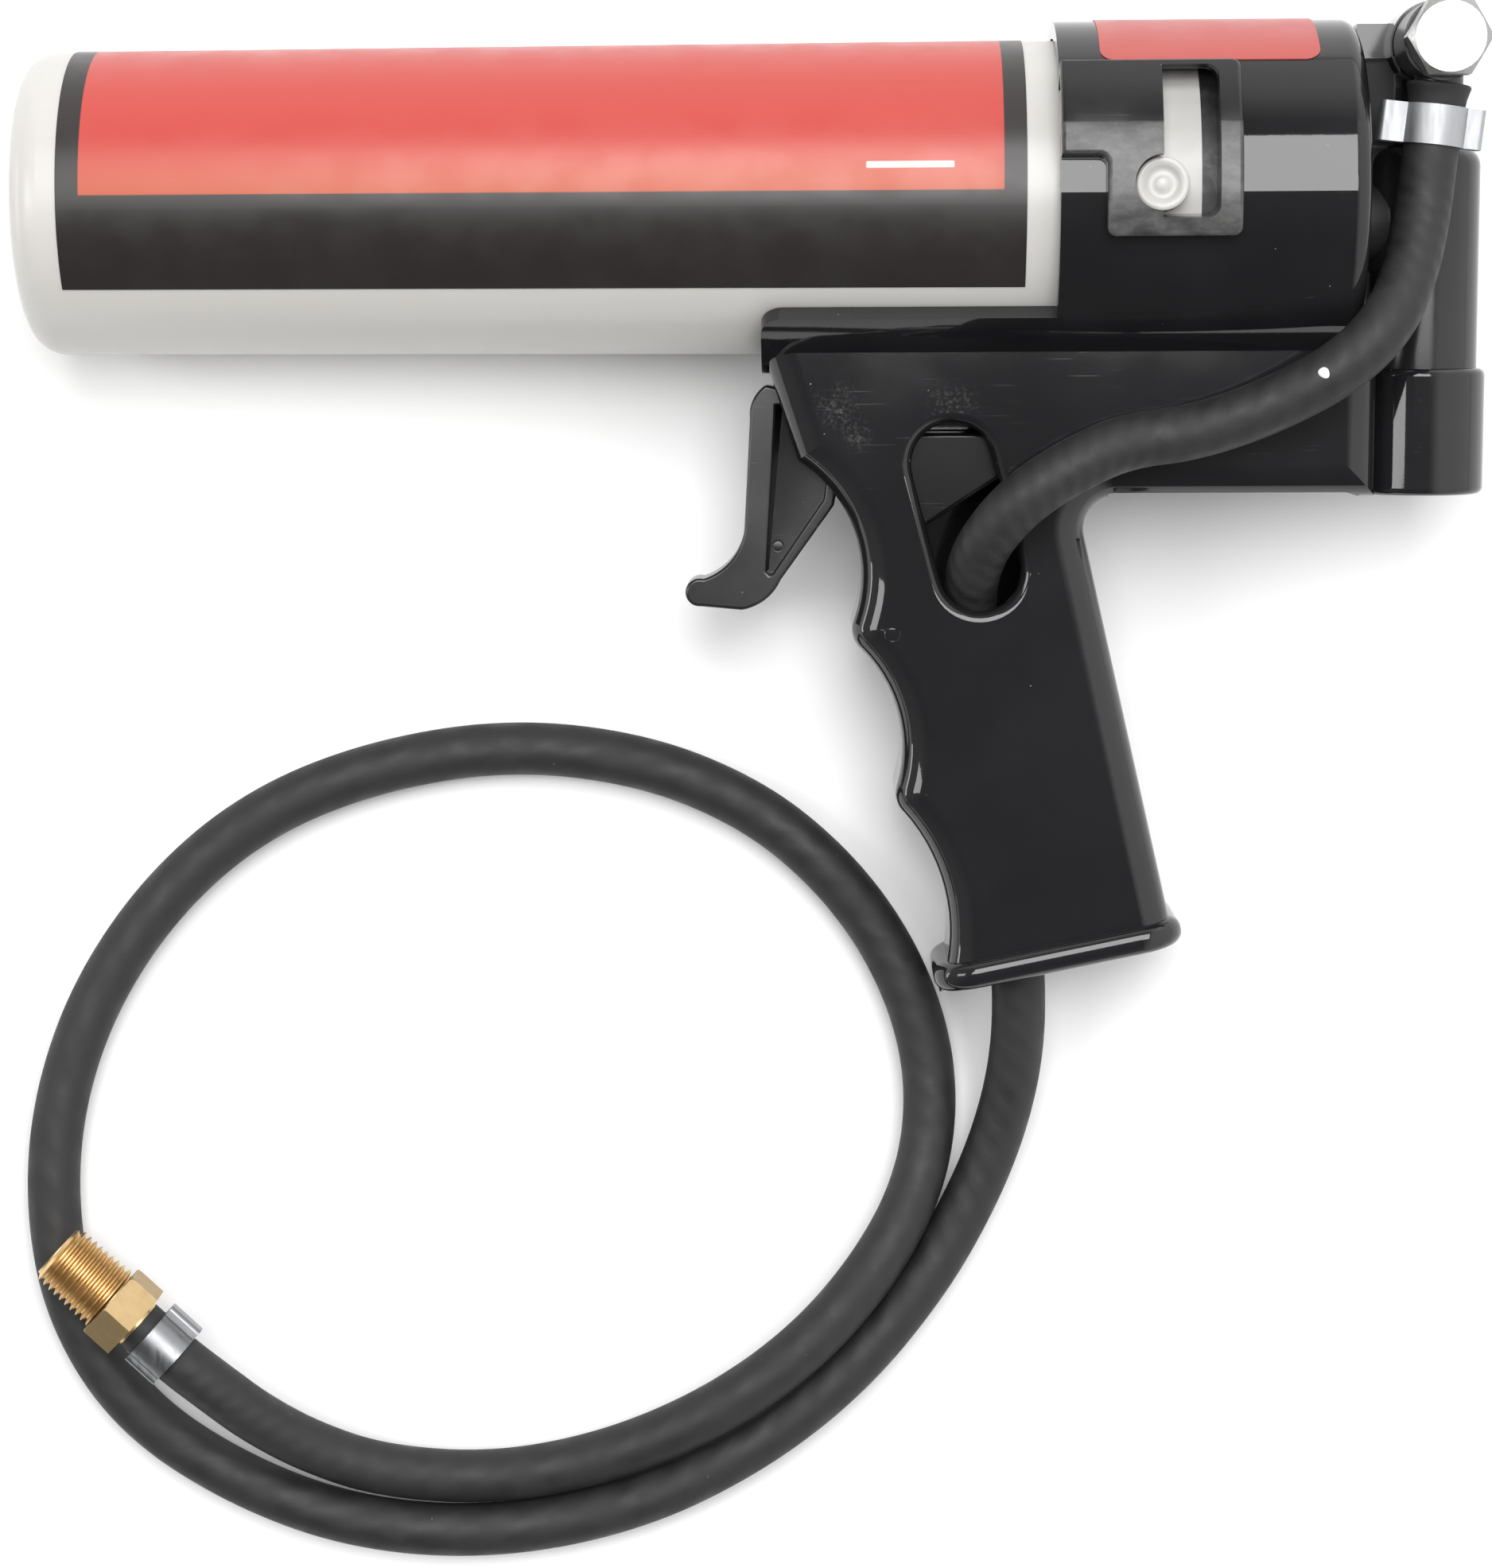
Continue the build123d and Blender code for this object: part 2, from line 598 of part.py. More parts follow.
def make_body():
    """The one-piece moulding: collar, cradle, beam, grip and rear socket."""
    slab = extrude(grip_outline(0), GRIP_HALF, both=True)
    rims = slab.faces().filter_by(Axis.Z).edges()
    slab = fillet(rims.filter_by(lambda edge: edge.center().Y < BEAM_CEILING), GRIP_ROUND)
    collar = rod((0, 0, 0), (COLLAR_LENGTH, 0, 0), COLLAR_RADIUS)
    collar = fillet(collar.edges().sort_by(Axis.X)[-1], COLLAR_REAR_ROUND)
    socket = rod((COLUMN_X, SOCKET_BOTTOM, 0), (COLUMN_X, SOCKET_TOP, 0), SOCKET_RADIUS)
    ends = socket.edges().filter_by(GeomType.CIRCLE)
    socket = fillet(ends, SOCKET_ROUND)
    body = slab + collar + make_cradle() + socket + make_bead()
    for side, drop in ((0, FRAME_DROP), (180, 0)):
        body += Rot(side, 0, 0) * bayonet_frame(drop)

    # Room for the barrel, its pins and the air way
    body -= rod((-CRADLE_LENGTH - 9, 0, 0), (BACK_WALL_X, 0, 0), COLLAR_BORE)
    for side in (0, 180):
        body -= Rot(side, 0, 0) * bayonet_slot()
    body -= rod((BACK_WALL_X - 1, PORT_Y, 0), (COLLAR_LENGTH + 1, PORT_Y, 0), TUBE_RADIUS)

    # Hollow of the grip and the beam, open at the bottom
    inner_half = GRIP_HALF - GRIP_WALL
    hollow = extrude(offset(grip_outline(2 * BEAD_HEIGHT), -GRIP_WALL), inner_half, both=True)
    hollow &= block((BEAM_FRONT, BEAM_REAR), (2 * GROOVE_ENDS[2][1], BEAM_CEILING), (-GRIP_HALF, GRIP_HALF))
    hollow += block(
        (GRIP_BACK_TOP + GRIP_NECK_ROUND, BEAM_REAR - GRIP_WALL),
        (BEAM_BOTTOM - 1, BEAM_CEILING),
        (-inner_half, inner_half),
    )
    body -= hollow
    slot_half = TRIGGER_HALF + TRIGGER_SIDE_GAP
    body -= block(
        (BEAM_FRONT - 1, GROOVE_DEEPS[0][0] + GRIP_WALL + 1),
        (TRIGGER_SLOT_BOTTOM, BEAM_CEILING),
        (-slot_half, slot_half),
    )

    # Inside of the socket, open to the beam for the lever's fork
    fork_room = COLUMN_RADIUS - SOCKET_LEDGE
    body -= rod((COLUMN_X, COLUMN_BOTTOM, 0), (COLUMN_X, 0, 0), COLUMN_RADIUS + SOCKET_FIT)
    body -= rod((COLUMN_X, SOCKET_BOTTOM + SOCKET_FLOOR, 0), (COLUMN_X, COLUMN_BOTTOM, 0), fork_room)
    body -= block(
        (BEAM_REAR - GRIP_WALL - 1, COLUMN_X),
        (SOCKET_BOTTOM + SOCKET_FLOOR, COLUMN_BOTTOM + 2),
        (-LEVER_HALF - LEVER_SIDE_GAP, LEVER_HALF + LEVER_SIDE_GAP),
    )

    # Bosses and blind holes for the two pivot pins
    for pivot, half in ((TRIGGER_PIVOT, slot_half), (LEVER_PIVOT, LEVER_HALF + TRIGGER_SIDE_GAP)):
        for side in (-1, 1):
            body += rod((*pivot, side * half), (*pivot, side * (inner_half + 1)), BOSS_RADIUS)
        tip = PIVOT_PIN_HALF + PIVOT_HOLE_GAP
        body -= rod((*pivot, -tip), (*pivot, tip), PIVOT_PIN_RADIUS)

    # Keyhole window in the left side, with a rounded lip
    ends = [Vector(*WINDOW_TOP), Vector(*WINDOW_BOTTOM)]
    slot = SlotCenterToCenter((ends[1] - ends[0]).length, 2 * WINDOW_RADIUS)
    plane = Plane(origin=(ends[0] + ends[1]) / 2, x_dir=ends[1] - ends[0], z_dir=(0, 0, 1))
    body -= extrude(plane * slot, GRIP_HALF + 1)
    middle = plane.origin
    lip = body.edges().filter_by(
        lambda edge: abs(edge.center().Z - GRIP_HALF) < 0.01
        and math.hypot(edge.center().X - middle.X, edge.center().Y - middle.Y) < 2.2 * WINDOW_RADIUS
    )
    return fillet(lip, WINDOW_LIP)


def make_trigger():
    """Finger bar and rib with a recessed web between them, a hub and a nose under the lever."""
    px, py = TRIGGER_PIVOT
    neck_foot, neck_top = [(px + x, py + y) for x, y in TRIGGER_NECK]
    outline = [
        Polyline(neck_top, *TRIGGER_TOP),
        ThreePointArc(TRIGGER_TOP[-1], *TRIGGER_BROW),
        Line(TRIGGER_BROW[-1], TRIGGER_FINGER[0]),
        ThreePointArc(*TRIGGER_FINGER),
        ThreePointArc(TRIGGER_FINGER[-1], *TRIGGER_TOE),
        Line(TRIGGER_TOE[-1], TRIGGER_HEEL[0]),
        ThreePointArc(*TRIGGER_HEEL),
        Polyline(TRIGGER_HEEL[-1], TRIGGER_BACK, neck_foot, neck_top),
    ]
    face = make_face(outline)
    plate = extrude(face, TRIGGER_HALF, both=True)
    pocket = make_face(Polyline(*TRIGGER_POCKET, close=True))
    for side in (-1, 1):
        plate -= Pos(0, 0, side * TRIGGER_WEB_HALF) * extrude(pocket, side * TRIGGER_HALF)
    plate += rod((px, py, -TRIGGER_HALF), (px, py, TRIGGER_HALF), TRIGGER_HUB_RADIUS)
    tip_x = px + NOSE_REACH
    tip_y = LEVER_TOP - LEVER_FINGER - NOSE_GAP - NOSE_TIP_RADIUS
    arm = Polyline(
        (px, py),
        (LEVER_FRONT - NOSE_TIP_RADIUS, tip_y + NOSE_TIP_RADIUS),
        (tip_x, tip_y + NOSE_TIP_RADIUS),
        (tip_x, tip_y - NOSE_TIP_RADIUS),
        (px, py - TRIGGER_ARM_FOOT),
        close=True,
    )
    plate += extrude(make_face(arm), TRIGGER_ARM_HALF, both=True)
    plate += rod((tip_x, tip_y, -TRIGGER_ARM_HALF), (tip_x, tip_y, TRIGGER_ARM_HALF), NOSE_TIP_RADIUS)
    hole = PIVOT_PIN_RADIUS + PIVOT_HOLE_GAP
    return plate - rod((px, py, -TRIGGER_HALF), (px, py, TRIGGER_HALF), hole)


def make_lever():
    """Rocker with a finger over the trigger's nose, cheeks beside it and a fork round the spool's stem."""
    px, py = LEVER_PIVOT
    fork_low = FORK_Y - FORK_THICKNESS / 2
    fork_high = FORK_Y + FORK_THICKNESS / 2
    fork_end = COLUMN_X + FORK_OVERHANG
    neck_x = BEAM_REAR - GRIP_WALL
    outline = Polyline(
        (LEVER_FRONT, LEVER_TOP),
        (px, LEVER_TOP),
        (neck_x, fork_high),
        (fork_end, fork_high),
        (fork_end, fork_low),
        (neck_x, fork_low),
        (px, py - LEVER_HUB_RADIUS),
        LEVER_KNEE,
        (LEVER_BELLY_FRONT + LEVER_BELLY_CHAMFER, LEVER_BELLY_Y),
        (LEVER_BELLY_FRONT, LEVER_BELLY_Y + LEVER_BELLY_CHAMFER),
        (LEVER_BELLY_FRONT, LEVER_TOP - LEVER_FINGER),
        (LEVER_FRONT, LEVER_TOP - LEVER_FINGER),
        close=True,
    )
    lever = extrude(make_face(outline), LEVER_HALF, both=True)
    slope = (LEVER_BELLY_Y - LEVER_KNEE[1]) / (LEVER_BELLY_FRONT + LEVER_BELLY_CHAMFER - LEVER_KNEE[0])
    chin = (CHEEK_FRONT, LEVER_KNEE[1] + slope * (CHEEK_FRONT - LEVER_KNEE[0]))
    cheek = make_face(Polyline((CHEEK_FRONT, LEVER_TOP), (px, LEVER_TOP), LEVER_KNEE, chin, close=True))
    room = TRIGGER_ARM_HALF + CHEEK_GAP
    for side in (-1, 1):
        lever += Pos(0, 0, side * room) * extrude(cheek, side * (LEVER_HALF - room))
    rims = lever.faces().filter_by(Axis.Z).edges()
    rims = rims.filter_by(lambda edge: abs(abs(edge.center().Z) - LEVER_HALF) < 0.01 and edge.center().X < px)
    lever = fillet(rims, LEVER_ROUND)
    lever += rod((px, py, -LEVER_HALF), (px, py, LEVER_HALF), LEVER_HUB_RADIUS)
    slot = SPOOL_STEM_RADIUS + FORK_SLOT_GAP
    lever -= rod((COLUMN_X, fork_low, 0), (COLUMN_X, fork_high, 0), slot)
    lever -= block((COLUMN_X, fork_end), (fork_low, fork_high), (-slot, slot))
    hole = PIVOT_PIN_RADIUS + PIVOT_HOLE_GAP
    return lever - rod((px, py, -LEVER_HALF), (px, py, LEVER_HALF), hole)


def make_pivot_pin(pivot):
    """Plain pin across the moulding, blind in both side walls."""
    return rod((*pivot, -PIVOT_PIN_HALF), (*pivot, PIVOT_PIN_HALF), PIVOT_PIN_RADIUS)


def on_column(y_span, radius):
    """A round bar on the valve column's axis."""
    return rod((COLUMN_X, y_span[0], 0), (COLUMN_X, y_span[1], 0), radius)


def make_column():
    """Valve tube with a stepped bore, a side port, a tapped cross head and a webbed arm to the collar."""
    column = on_column((COLUMN_BOTTOM, COLUMN_SHOULDER), COLUMN_RADIUS)
    column = fillet(column.edges().sort_by(Axis.Y)[-1], COLUMN_ROUND)
    column += on_column((0, HEAD_Y), COLUMN_NECK_RADIUS)
    head = rod((COLUMN_X, HEAD_Y, -HEAD_HALF), (COLUMN_X, HEAD_Y, HEAD_HALF), HEAD_RADIUS)
    column += fillet(head.edges().sort_by(Axis.Z)[0], HEAD_ROUND)
    arm_x = (COLLAR_LENGTH + ARM_GAP, COLUMN_X)
    column += block(arm_x, ARM_SPAN, (-ARM_HALF, ARM_HALF))
    column += block(arm_x, (WEB_BOTTOM, ARM_SPAN[1]), (-WEB_HALF, WEB_HALF))
    face_x = COLLAR_LENGTH + PORT_FACE_GAP
    column += rod((face_x, PORT_Y, 0), (COLUMN_X, PORT_Y, 0), PORT_BOSS_RADIUS)
    column -= on_column((COLUMN_BOTTOM, LOWER_BORE_BOTTOM), SPRING_BORE)
    column -= on_column((LOWER_BORE_BOTTOM, SUPPLY_TOP), VALVE_BORE)
    column -= on_column((CHAMBER_BOTTOM, CHAMBER_TOP), CHAMBER_RADIUS)
    column -= on_column((SUPPLY_TOP, HEAD_Y), SUPPLY_RADIUS)
    column -= on_bolt((HEAD_HALF - BOLT_DEPTH - BOLT_RUNOUT, HEAD_HALF), BOLT_RADIUS)
    column -= rod((face_x, PORT_Y, 0), (COLUMN_X, PORT_Y, 0), TUBE_RADIUS)
    seat = TUBE_RADIUS + 2 * PORT_RING_WIRE + 2 * RING_SEAT_GAP
    column -= rod((face_x, PORT_Y, 0), (face_x + PORT_RING_DEPTH, PORT_Y, 0), seat)
    return column


def land_middles():
    """Heights of the middles of the spool's two lands."""
    return (CHAMBER_TOP + LAND_STANDOFF + LAND_HEIGHT / 2, CHAMBER_BOTTOM + EXHAUST_GAP + LAND_HEIGHT / 2)


def make_spool():
    """Spool with two sealing lands, a spring flange and a headed stem through the lever's fork."""
    upper, lower = land_middles()
    land_radius = VALVE_BORE - VALVE_FIT
    spool = on_column((lower, upper), SPOOL_NECK_RADIUS)
    for middle in (upper, lower):
        spool += on_column((middle - LAND_HEIGHT / 2, middle + LAND_HEIGHT / 2), land_radius)
        half = VALVE_RING_WIRE + RING_SEAT_GAP
        groove = (middle - half, middle + half)
        spool -= on_column(groove, land_radius) - on_column(groove, land_radius - 2 * VALVE_RING_WIRE)
    spool += on_column((SPOOL_HEAD_TOP, lower), SPOOL_STEM_RADIUS)
    spool += on_column((SPOOL_FLANGE_TOP - SPOOL_FLANGE_HEIGHT, SPOOL_FLANGE_TOP), SPOOL_FLANGE_RADIUS)
    return spool + on_column((SPOOL_HEAD_TOP - SPOOL_HEAD_HEIGHT, SPOOL_HEAD_TOP), SPOOL_HEAD_RADIUS)


def make_spool_rings():
    """Sealing rings in the spool's two grooves."""
    major = VALVE_BORE - RING_SEAT_GAP - VALVE_RING_WIRE
    return Part() + [ring((COLUMN_X, y, 0), (0, 1, 0), major, VALVE_RING_WIRE) for y in land_middles()]


def make_guide():
    """Bush in the column's foot that guides the stem and vents the used air."""
    guide = on_column((COLUMN_BOTTOM, GUIDE_TOP), SPRING_BORE)
    guide -= on_column((COLUMN_BOTTOM, GUIDE_TOP), SPOOL_STEM_RADIUS + VALVE_FIT)
    reach = (SPRING_BORE + SPOOL_STEM_RADIUS) / 2
    for turn in range(4):
        x = COLUMN_X + reach * math.cos(turn * math.pi / 2)
        z = reach * math.sin(turn * math.pi / 2)
        guide -= rod((x, COLUMN_BOTTOM, z), (x, GUIDE_TOP, z), GUIDE_VENT_RADIUS)
    return guide


def make_valve_spring():
    """Spring between the guide and the spool's flange, which lifts the spool."""
    height = SPOOL_FLANGE_TOP - SPOOL_FLANGE_HEIGHT - GUIDE_TOP
    spring = coil("valve_spring", VALVE_SPRING_RADIUS, VALVE_SPRING_WIRE, VALVE_SPRING_TURNS, height)
    return Pos(COLUMN_X, GUIDE_TOP, 0) * Rot(-90, 0, 0) * spring


def make_lock_spring():
    """Spring between the collar's back wall and the seal plate."""
    height = BACK_WALL_X - PLATE_REAR
    spring = coil("lock_spring", LOCK_SPRING_RADIUS, LOCK_SPRING_WIRE, LOCK_SPRING_TURNS, height)
    return Pos(PLATE_REAR, 0, 0) * Rot(0, 90, 0) * spring


def make_transfer_tube():
    """Flanged tube through the collar's back wall into the column's side port."""
    end = COLLAR_LENGTH + TUBE_REACH
    tube = rod((BACK_WALL_X, PORT_Y, 0), (end, PORT_Y, 0), TUBE_RADIUS)
    tube += rod((BACK_WALL_X - TUBE_FLANGE, PORT_Y, 0), (BACK_WALL_X, PORT_Y, 0), TUBE_FLANGE_RADIUS)
    return tube - rod((BACK_WALL_X - TUBE_FLANGE, PORT_Y, 0), (end, PORT_Y, 0), TUBE_BORE)


def make_transfer_ring():
    """Sealing ring round the transfer tube, between the collar and the column."""
    x = COLLAR_LENGTH + PORT_FACE_GAP + PORT_RING_DEPTH - PORT_RING_WIRE - RING_SEAT_GAP
    return ring((x, PORT_Y, 0), (1, 0, 0), TUBE_RADIUS + PORT_RING_WIRE + RING_SEAT_GAP, PORT_RING_WIRE)


def make_gasket():
    """Flat rubber washer that the cartridge and the barrel press on."""
    outer = COLLAR_BORE - GASKET_EDGE_GAP
    return even_sector(GASKET_BORE, outer, (BARREL_DEPTH, PLATE_FRONT), (0, 360))


def make_plate():
    """Seal plate with a ring groove, a spring seat and a bore for the air."""
    outer = COLLAR_BORE - PLATE_GAP
    plate = even_sector(PLATE_BORE, outer, (PLATE_FRONT, PLATE_REAR), (0, 360))
    half = PLATE_RING_WIRE + RING_SEAT_GAP
    floor = COLLAR_BORE - PLATE_RING_FIT - 2 * half
    return plate - even_sector(floor, outer + 1, (PLATE_RING_X - half, PLATE_RING_X + half), (0, 360))


def make_plate_ring():
    """Sealing ring in the plate's groove."""
    major = COLLAR_BORE - PLATE_RING_FIT - PLATE_RING_WIRE
    return ring((PLATE_RING_X, 0, 0), (1, 0, 0), major, PLATE_RING_WIRE)


def on_bolt(z_span, radius):
    """A round bar on the banjo bolt's axis."""
    return rod((COLUMN_X, HEAD_Y, z_span[0]), (COLUMN_X, HEAD_Y, z_span[1]), radius)


def make_bolt():
    """Hollow bolt with a chamfered hex head and cross holes for the air."""
    foot = HEAD_HALF - BOLT_DEPTH
    hexagon = Pos(COLUMN_X, HEAD_Y, HEX_FLOOR) * RegularPolygon(HEX_FLATS / 2, 6, major_radius=False)
    head = extrude(hexagon, HEX_HEIGHT)
    point = HEX_FLATS / 2 + HEX_HEIGHT * HEX_CONE_SLOPE
    cone = Pos(COLUMN_X, HEAD_Y, HEX_FLOOR + HEX_HEIGHT / 2)
    cone = cone * Cone(point, HEX_FLATS / 2 - HEX_CHAMFER, HEX_HEIGHT)
    bolt = (head & cone) + on_bolt((foot, HEX_FLOOR), BOLT_RADIUS)
    bolt -= on_bolt((foot, BANJO_Z + 2 * BOLT_HOLE_RADIUS), BOLT_BORE)
    for way in ((BANJO_RADIUS, 0), (0, BANJO_RADIUS)):
        near = (COLUMN_X - way[0], HEAD_Y - way[1], BANJO_Z)
        far = (COLUMN_X + way[0], HEAD_Y + way[1], BANJO_Z)
        bolt -= rod(near, far, BOLT_HOLE_RADIUS)
    return bolt


def make_washers():
    """Sealing washers on both sides of the banjo ring."""
    washers = []
    for floor in (BANJO_SPAN[0] - WASHER, BANJO_SPAN[1]):
        span = (floor, floor + WASHER)
        washers.append(on_bolt(span, WASHER_RADIUS) - on_bolt(span, BOLT_RADIUS + BOLT_FIT))
    return Part() + washers


def barb():
    """Hose barb standing on the XY plane, pointing along Z, without its bore."""
    profile = [(0, 0), (BARB_ROOT_RADIUS, 0), (BARB_ROOT_RADIUS, BARB_PITCH / 2)]
    for step in range(BARB_COUNT):
        foot = (step + 0.5) * BARB_PITCH
        profile += [(BARB_RADIUS, foot), (BARB_ROOT_RADIUS, foot + BARB_PITCH)]
    profile.append((0, (BARB_COUNT + 0.5) * BARB_PITCH))
    return revolve(Plane.XZ * make_face(Polyline(*profile, close=True)), Axis.Z)


def make_banjo():
    """Swivel ring with a barb for the hose."""
    ring_body = on_bolt(BANJO_SPAN, BANJO_RADIUS)
    neck = rod((COLUMN_X, HEAD_Y, BANJO_Z), HOSE_START, BARB_NECK_RADIUS)
    down = Plane(origin=HOSE_START, z_dir=(0, -1, 0))
    fitting = ring_body + neck + down * barb()
    fitting -= on_bolt(BANJO_SPAN, BOLT_RADIUS + BOLT_FIT)
    groove = (BANJO_Z - BANJO_GROOVE / 2, BANJO_Z + BANJO_GROOVE / 2)
    fitting -= on_bolt(groove, BANJO_GROOVE_RADIUS)
    tip = HOSE_START[1] - (BARB_COUNT + 1) * BARB_PITCH
    return fitting - rod((COLUMN_X, HEAD_Y - BOLT_RADIUS, BANJO_Z), (COLUMN_X, tip, BANJO_Z), BARB_BORE)


GUN_NODES = {
    "main_body": make_body(),
    "collar_sticker": make_sticker(),
    "barrel": make_barrel(),
    "barrel_pins": make_pins(),
    "barrel_label": make_label(),
    "barrel_gasket": make_gasket(),
    "seal_plate": make_plate(),
    "plate_o_ring": make_plate_ring(),
    "lock_spring": make_lock_spring(),
    "trigger": make_trigger(),
    "trigger_pin": make_pivot_pin(TRIGGER_PIVOT),
    "rocker_lever": make_lever(),
    "lever_pin": make_pivot_pin(LEVER_PIVOT),
    "valve_column": make_column(),
    "valve_spool": make_spool(),
    "spool_o_rings": make_spool_rings(),
    "spool_guide": make_guide(),
    "valve_spring": make_valve_spring(),
    "transfer_tube": make_transfer_tube(),
    "transfer_o_ring": make_transfer_ring(),
    "banjo_bolt": make_bolt(),
    "banjo_washers": make_washers(),
    "banjo_fitting": make_banjo(),
}


def resting_plane():
    """Plane of the table under the three points that the gun lies on."""
    turn = math.radians(ENTRY_ANGLE - SLOT_TURN - BORDER_TURN)
    frame_point = Vector(0, -FRAME_TOP * math.sin(turn), -FRAME_TOP * math.cos(turn))
    bottom, length = grip_bottom_plane()
    along = BEAD_CORNER + BEAD_SHIFT - length / 2 - BEAD_OVERHANG
    bead_point = bottom.origin + bottom.x_dir * along - bottom.z_dir * BEAD_HEIGHT / 2
    bead_point -= Vector(0, 0, BEAD_HALF)
    roll = 0
    for _ in range(5):
        nose = Vector(NOSE_X + NOSE_ROUND, -NOSE_RADIUS * math.sin(roll), -NOSE_RADIUS * math.cos(roll))
        normal = (bead_point - nose).cross(frame_point - nose).normalized()
        roll = math.atan2(normal.Y, normal.Z)
    axis = Vector(1, 0, 0)
    return Plane(origin=frame_point, x_dir=axis - normal * normal.X, z_dir=normal)


def laid_down(nodes):
    """The pieces in the table's frame, with the origin under the middle of the gun."""
    table = resting_plane()
    laid = {name: table.to_local_coords(shape) for name, shape in nodes.items()}
    boxes = [shape.bounding_box() for shape in laid.values()]
    low = [min(getattr(box.min, axis) for box in boxes) for axis in "XYZ"]
    high = [max(getattr(box.max, axis) for box in boxes) for axis in "XYZ"]
    shift = Pos(-(low[0] + high[0]) / 2, -(low[1] + high[1]) / 2, -low[2])
    return {name: shift * shape for name, shape in laid.items()}


def hose_path():
    """The hose's centreline: straight runs joined by arcs as large as the runs allow."""
    points = [Vector(*point) for point in HOSE_ROUTE]
    radii = []
    for before, here, after in zip(points, points[1:], points[2:]):
        turn = math.radians((here - before).get_angle(after - here))
        radii.append(0.45 * min((here - before).length, (after - here).length) / math.tan(turn / 2))
    print("air_hose: radii of its bends", *[round(radius) for radius in radii])
    return FilletPolyline(*points, radius=radii)


def make_hose(path):
    """Rubber tube along the route, with its bore."""
    section = Circle(HOSE_RADIUS) - Circle(HOSE_BORE)
    hose = sweep(Plane(origin=path @ 0, z_dir=path % 0) * section, path=path)
    expected = section.area * path.length
    print(f"air_hose: length {path.length:.0f}, volume {hose.volume:.0f}, section by length {expected:.0f}")
    print(f"air_hose: least gap to itself {least_gap(path, 2 * HOSE_RADIUS, 20 * HOSE_RADIUS):.2f}")
    return hose


def make_clamp(middle, way, across):
    """Two-ear band clamp round the hose."""
    inner = HOSE_RADIUS + CLAMP_FIT
    outer = inner + CLAMP_BAND
    reach = 2 * (outer + CLAMP_EAR)
    band = Cylinder(outer, CLAMP_WIDTH)
    ears = Box(reach, 2 * CLAMP_EAR_HALF, CLAMP_WIDTH)
    ears = fillet(ears.edges().filter_by(Axis.Z), CLAMP_BAND * 1.5)
    room = Box(reach - 2 * CLAMP_BAND, 2 * (CLAMP_EAR_HALF - CLAMP_BAND), CLAMP_WIDTH)
    clamp = band + ears - Cylinder(inner, CLAMP_WIDTH) - room
    return Plane(origin=middle, x_dir=across, z_dir=way) * clamp


def make_brass(end, way):
    """Brass fitting with a barb in the hose, a hexagon and a taper pipe thread."""
    thread_foot = BRASS_SHOULDER + BRASS_HEX
    profile = [(0, 0), (PIPE_RADIUS - PIPE_TOOTH, 0)]
    for tooth in range(PIPE_TEETH):
        crest = (tooth + 0.5) * PIPE_PITCH
        root = (tooth + 1) * PIPE_PITCH
        profile.append((PIPE_RADIUS - crest * PIPE_TAPER, crest))
        profile.append((PIPE_RADIUS - PIPE_TOOTH - root * PIPE_TAPER, root))
    profile.append((0, PIPE_TEETH * PIPE_PITCH))
    thread = revolve(Plane.XZ * make_face(Polyline(*profile, close=True)), Axis.Z)
    hexagon = RegularPolygon(BRASS_FLATS / 2, 6, major_radius=False, rotation=BRASS_TURN)
    hexagon = extrude(hexagon, BRASS_HEX)
    shoulder = Cylinder(HOSE_RADIUS, BRASS_SHOULDER, align=(Align.CENTER, Align.CENTER, Align.MIN))
    fitting = Pos(0, 0, thread_foot) * thread + Pos(0, 0, BRASS_SHOULDER) * hexagon + shoulder
    fitting -= Cylinder(PIPE_BORE, 2 * PIPE_TEETH * PIPE_PITCH + 2 * thread_foot)
    root = Cylinder(PIPE_BORE, BRASS_SHOULDER, align=(Align.CENTER, Align.CENTER, Align.MIN))
    tail = Rot(180, 0, 0) * barb() + root
    fitting += tail - Cylinder(BARB_BORE, 4 * BARB_COUNT * BARB_PITCH)
    return Plane(origin=end, x_dir=Vector(0, 0, 1).cross(way), z_dir=way) * fitting


def hose_nodes():
    """The hose and what is fastened on it."""
    path = hose_path()
    up = Vector(0, 0, 1)
    ends = (("hose_clamp_top", path @ 0, path % 0), ("hose_clamp_end", path @ 1, -(path % 1)))
    nodes = {"air_hose": make_hose(path)}
    for (name, end, inward), setback in zip(ends, CLAMP_SETBACKS):
        nodes[name] = make_clamp(end + inward * setback, inward, up.cross(inward))
    nodes["brass_fitting"] = make_brass(path @ 1, path % 1)
    return nodes


os.makedirs("parts", exist_ok=True)
for name, shape in (laid_down(GUN_NODES) | hose_nodes()).items():
    export_step(shape, f"parts/{name}.step")
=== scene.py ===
"""Looks of an air-powered caulking gun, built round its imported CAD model."""

import json
import logging
import math
from dataclasses import dataclass, field
from enum import Enum

import bmesh
import bpy
from bmesh.types import BMEdge, BMesh, BMVert
from bpy.types import Material, Node, NodeSocket, Object
from mathutils import Matrix, Vector
from mathutils.bvhtree import BVHTree


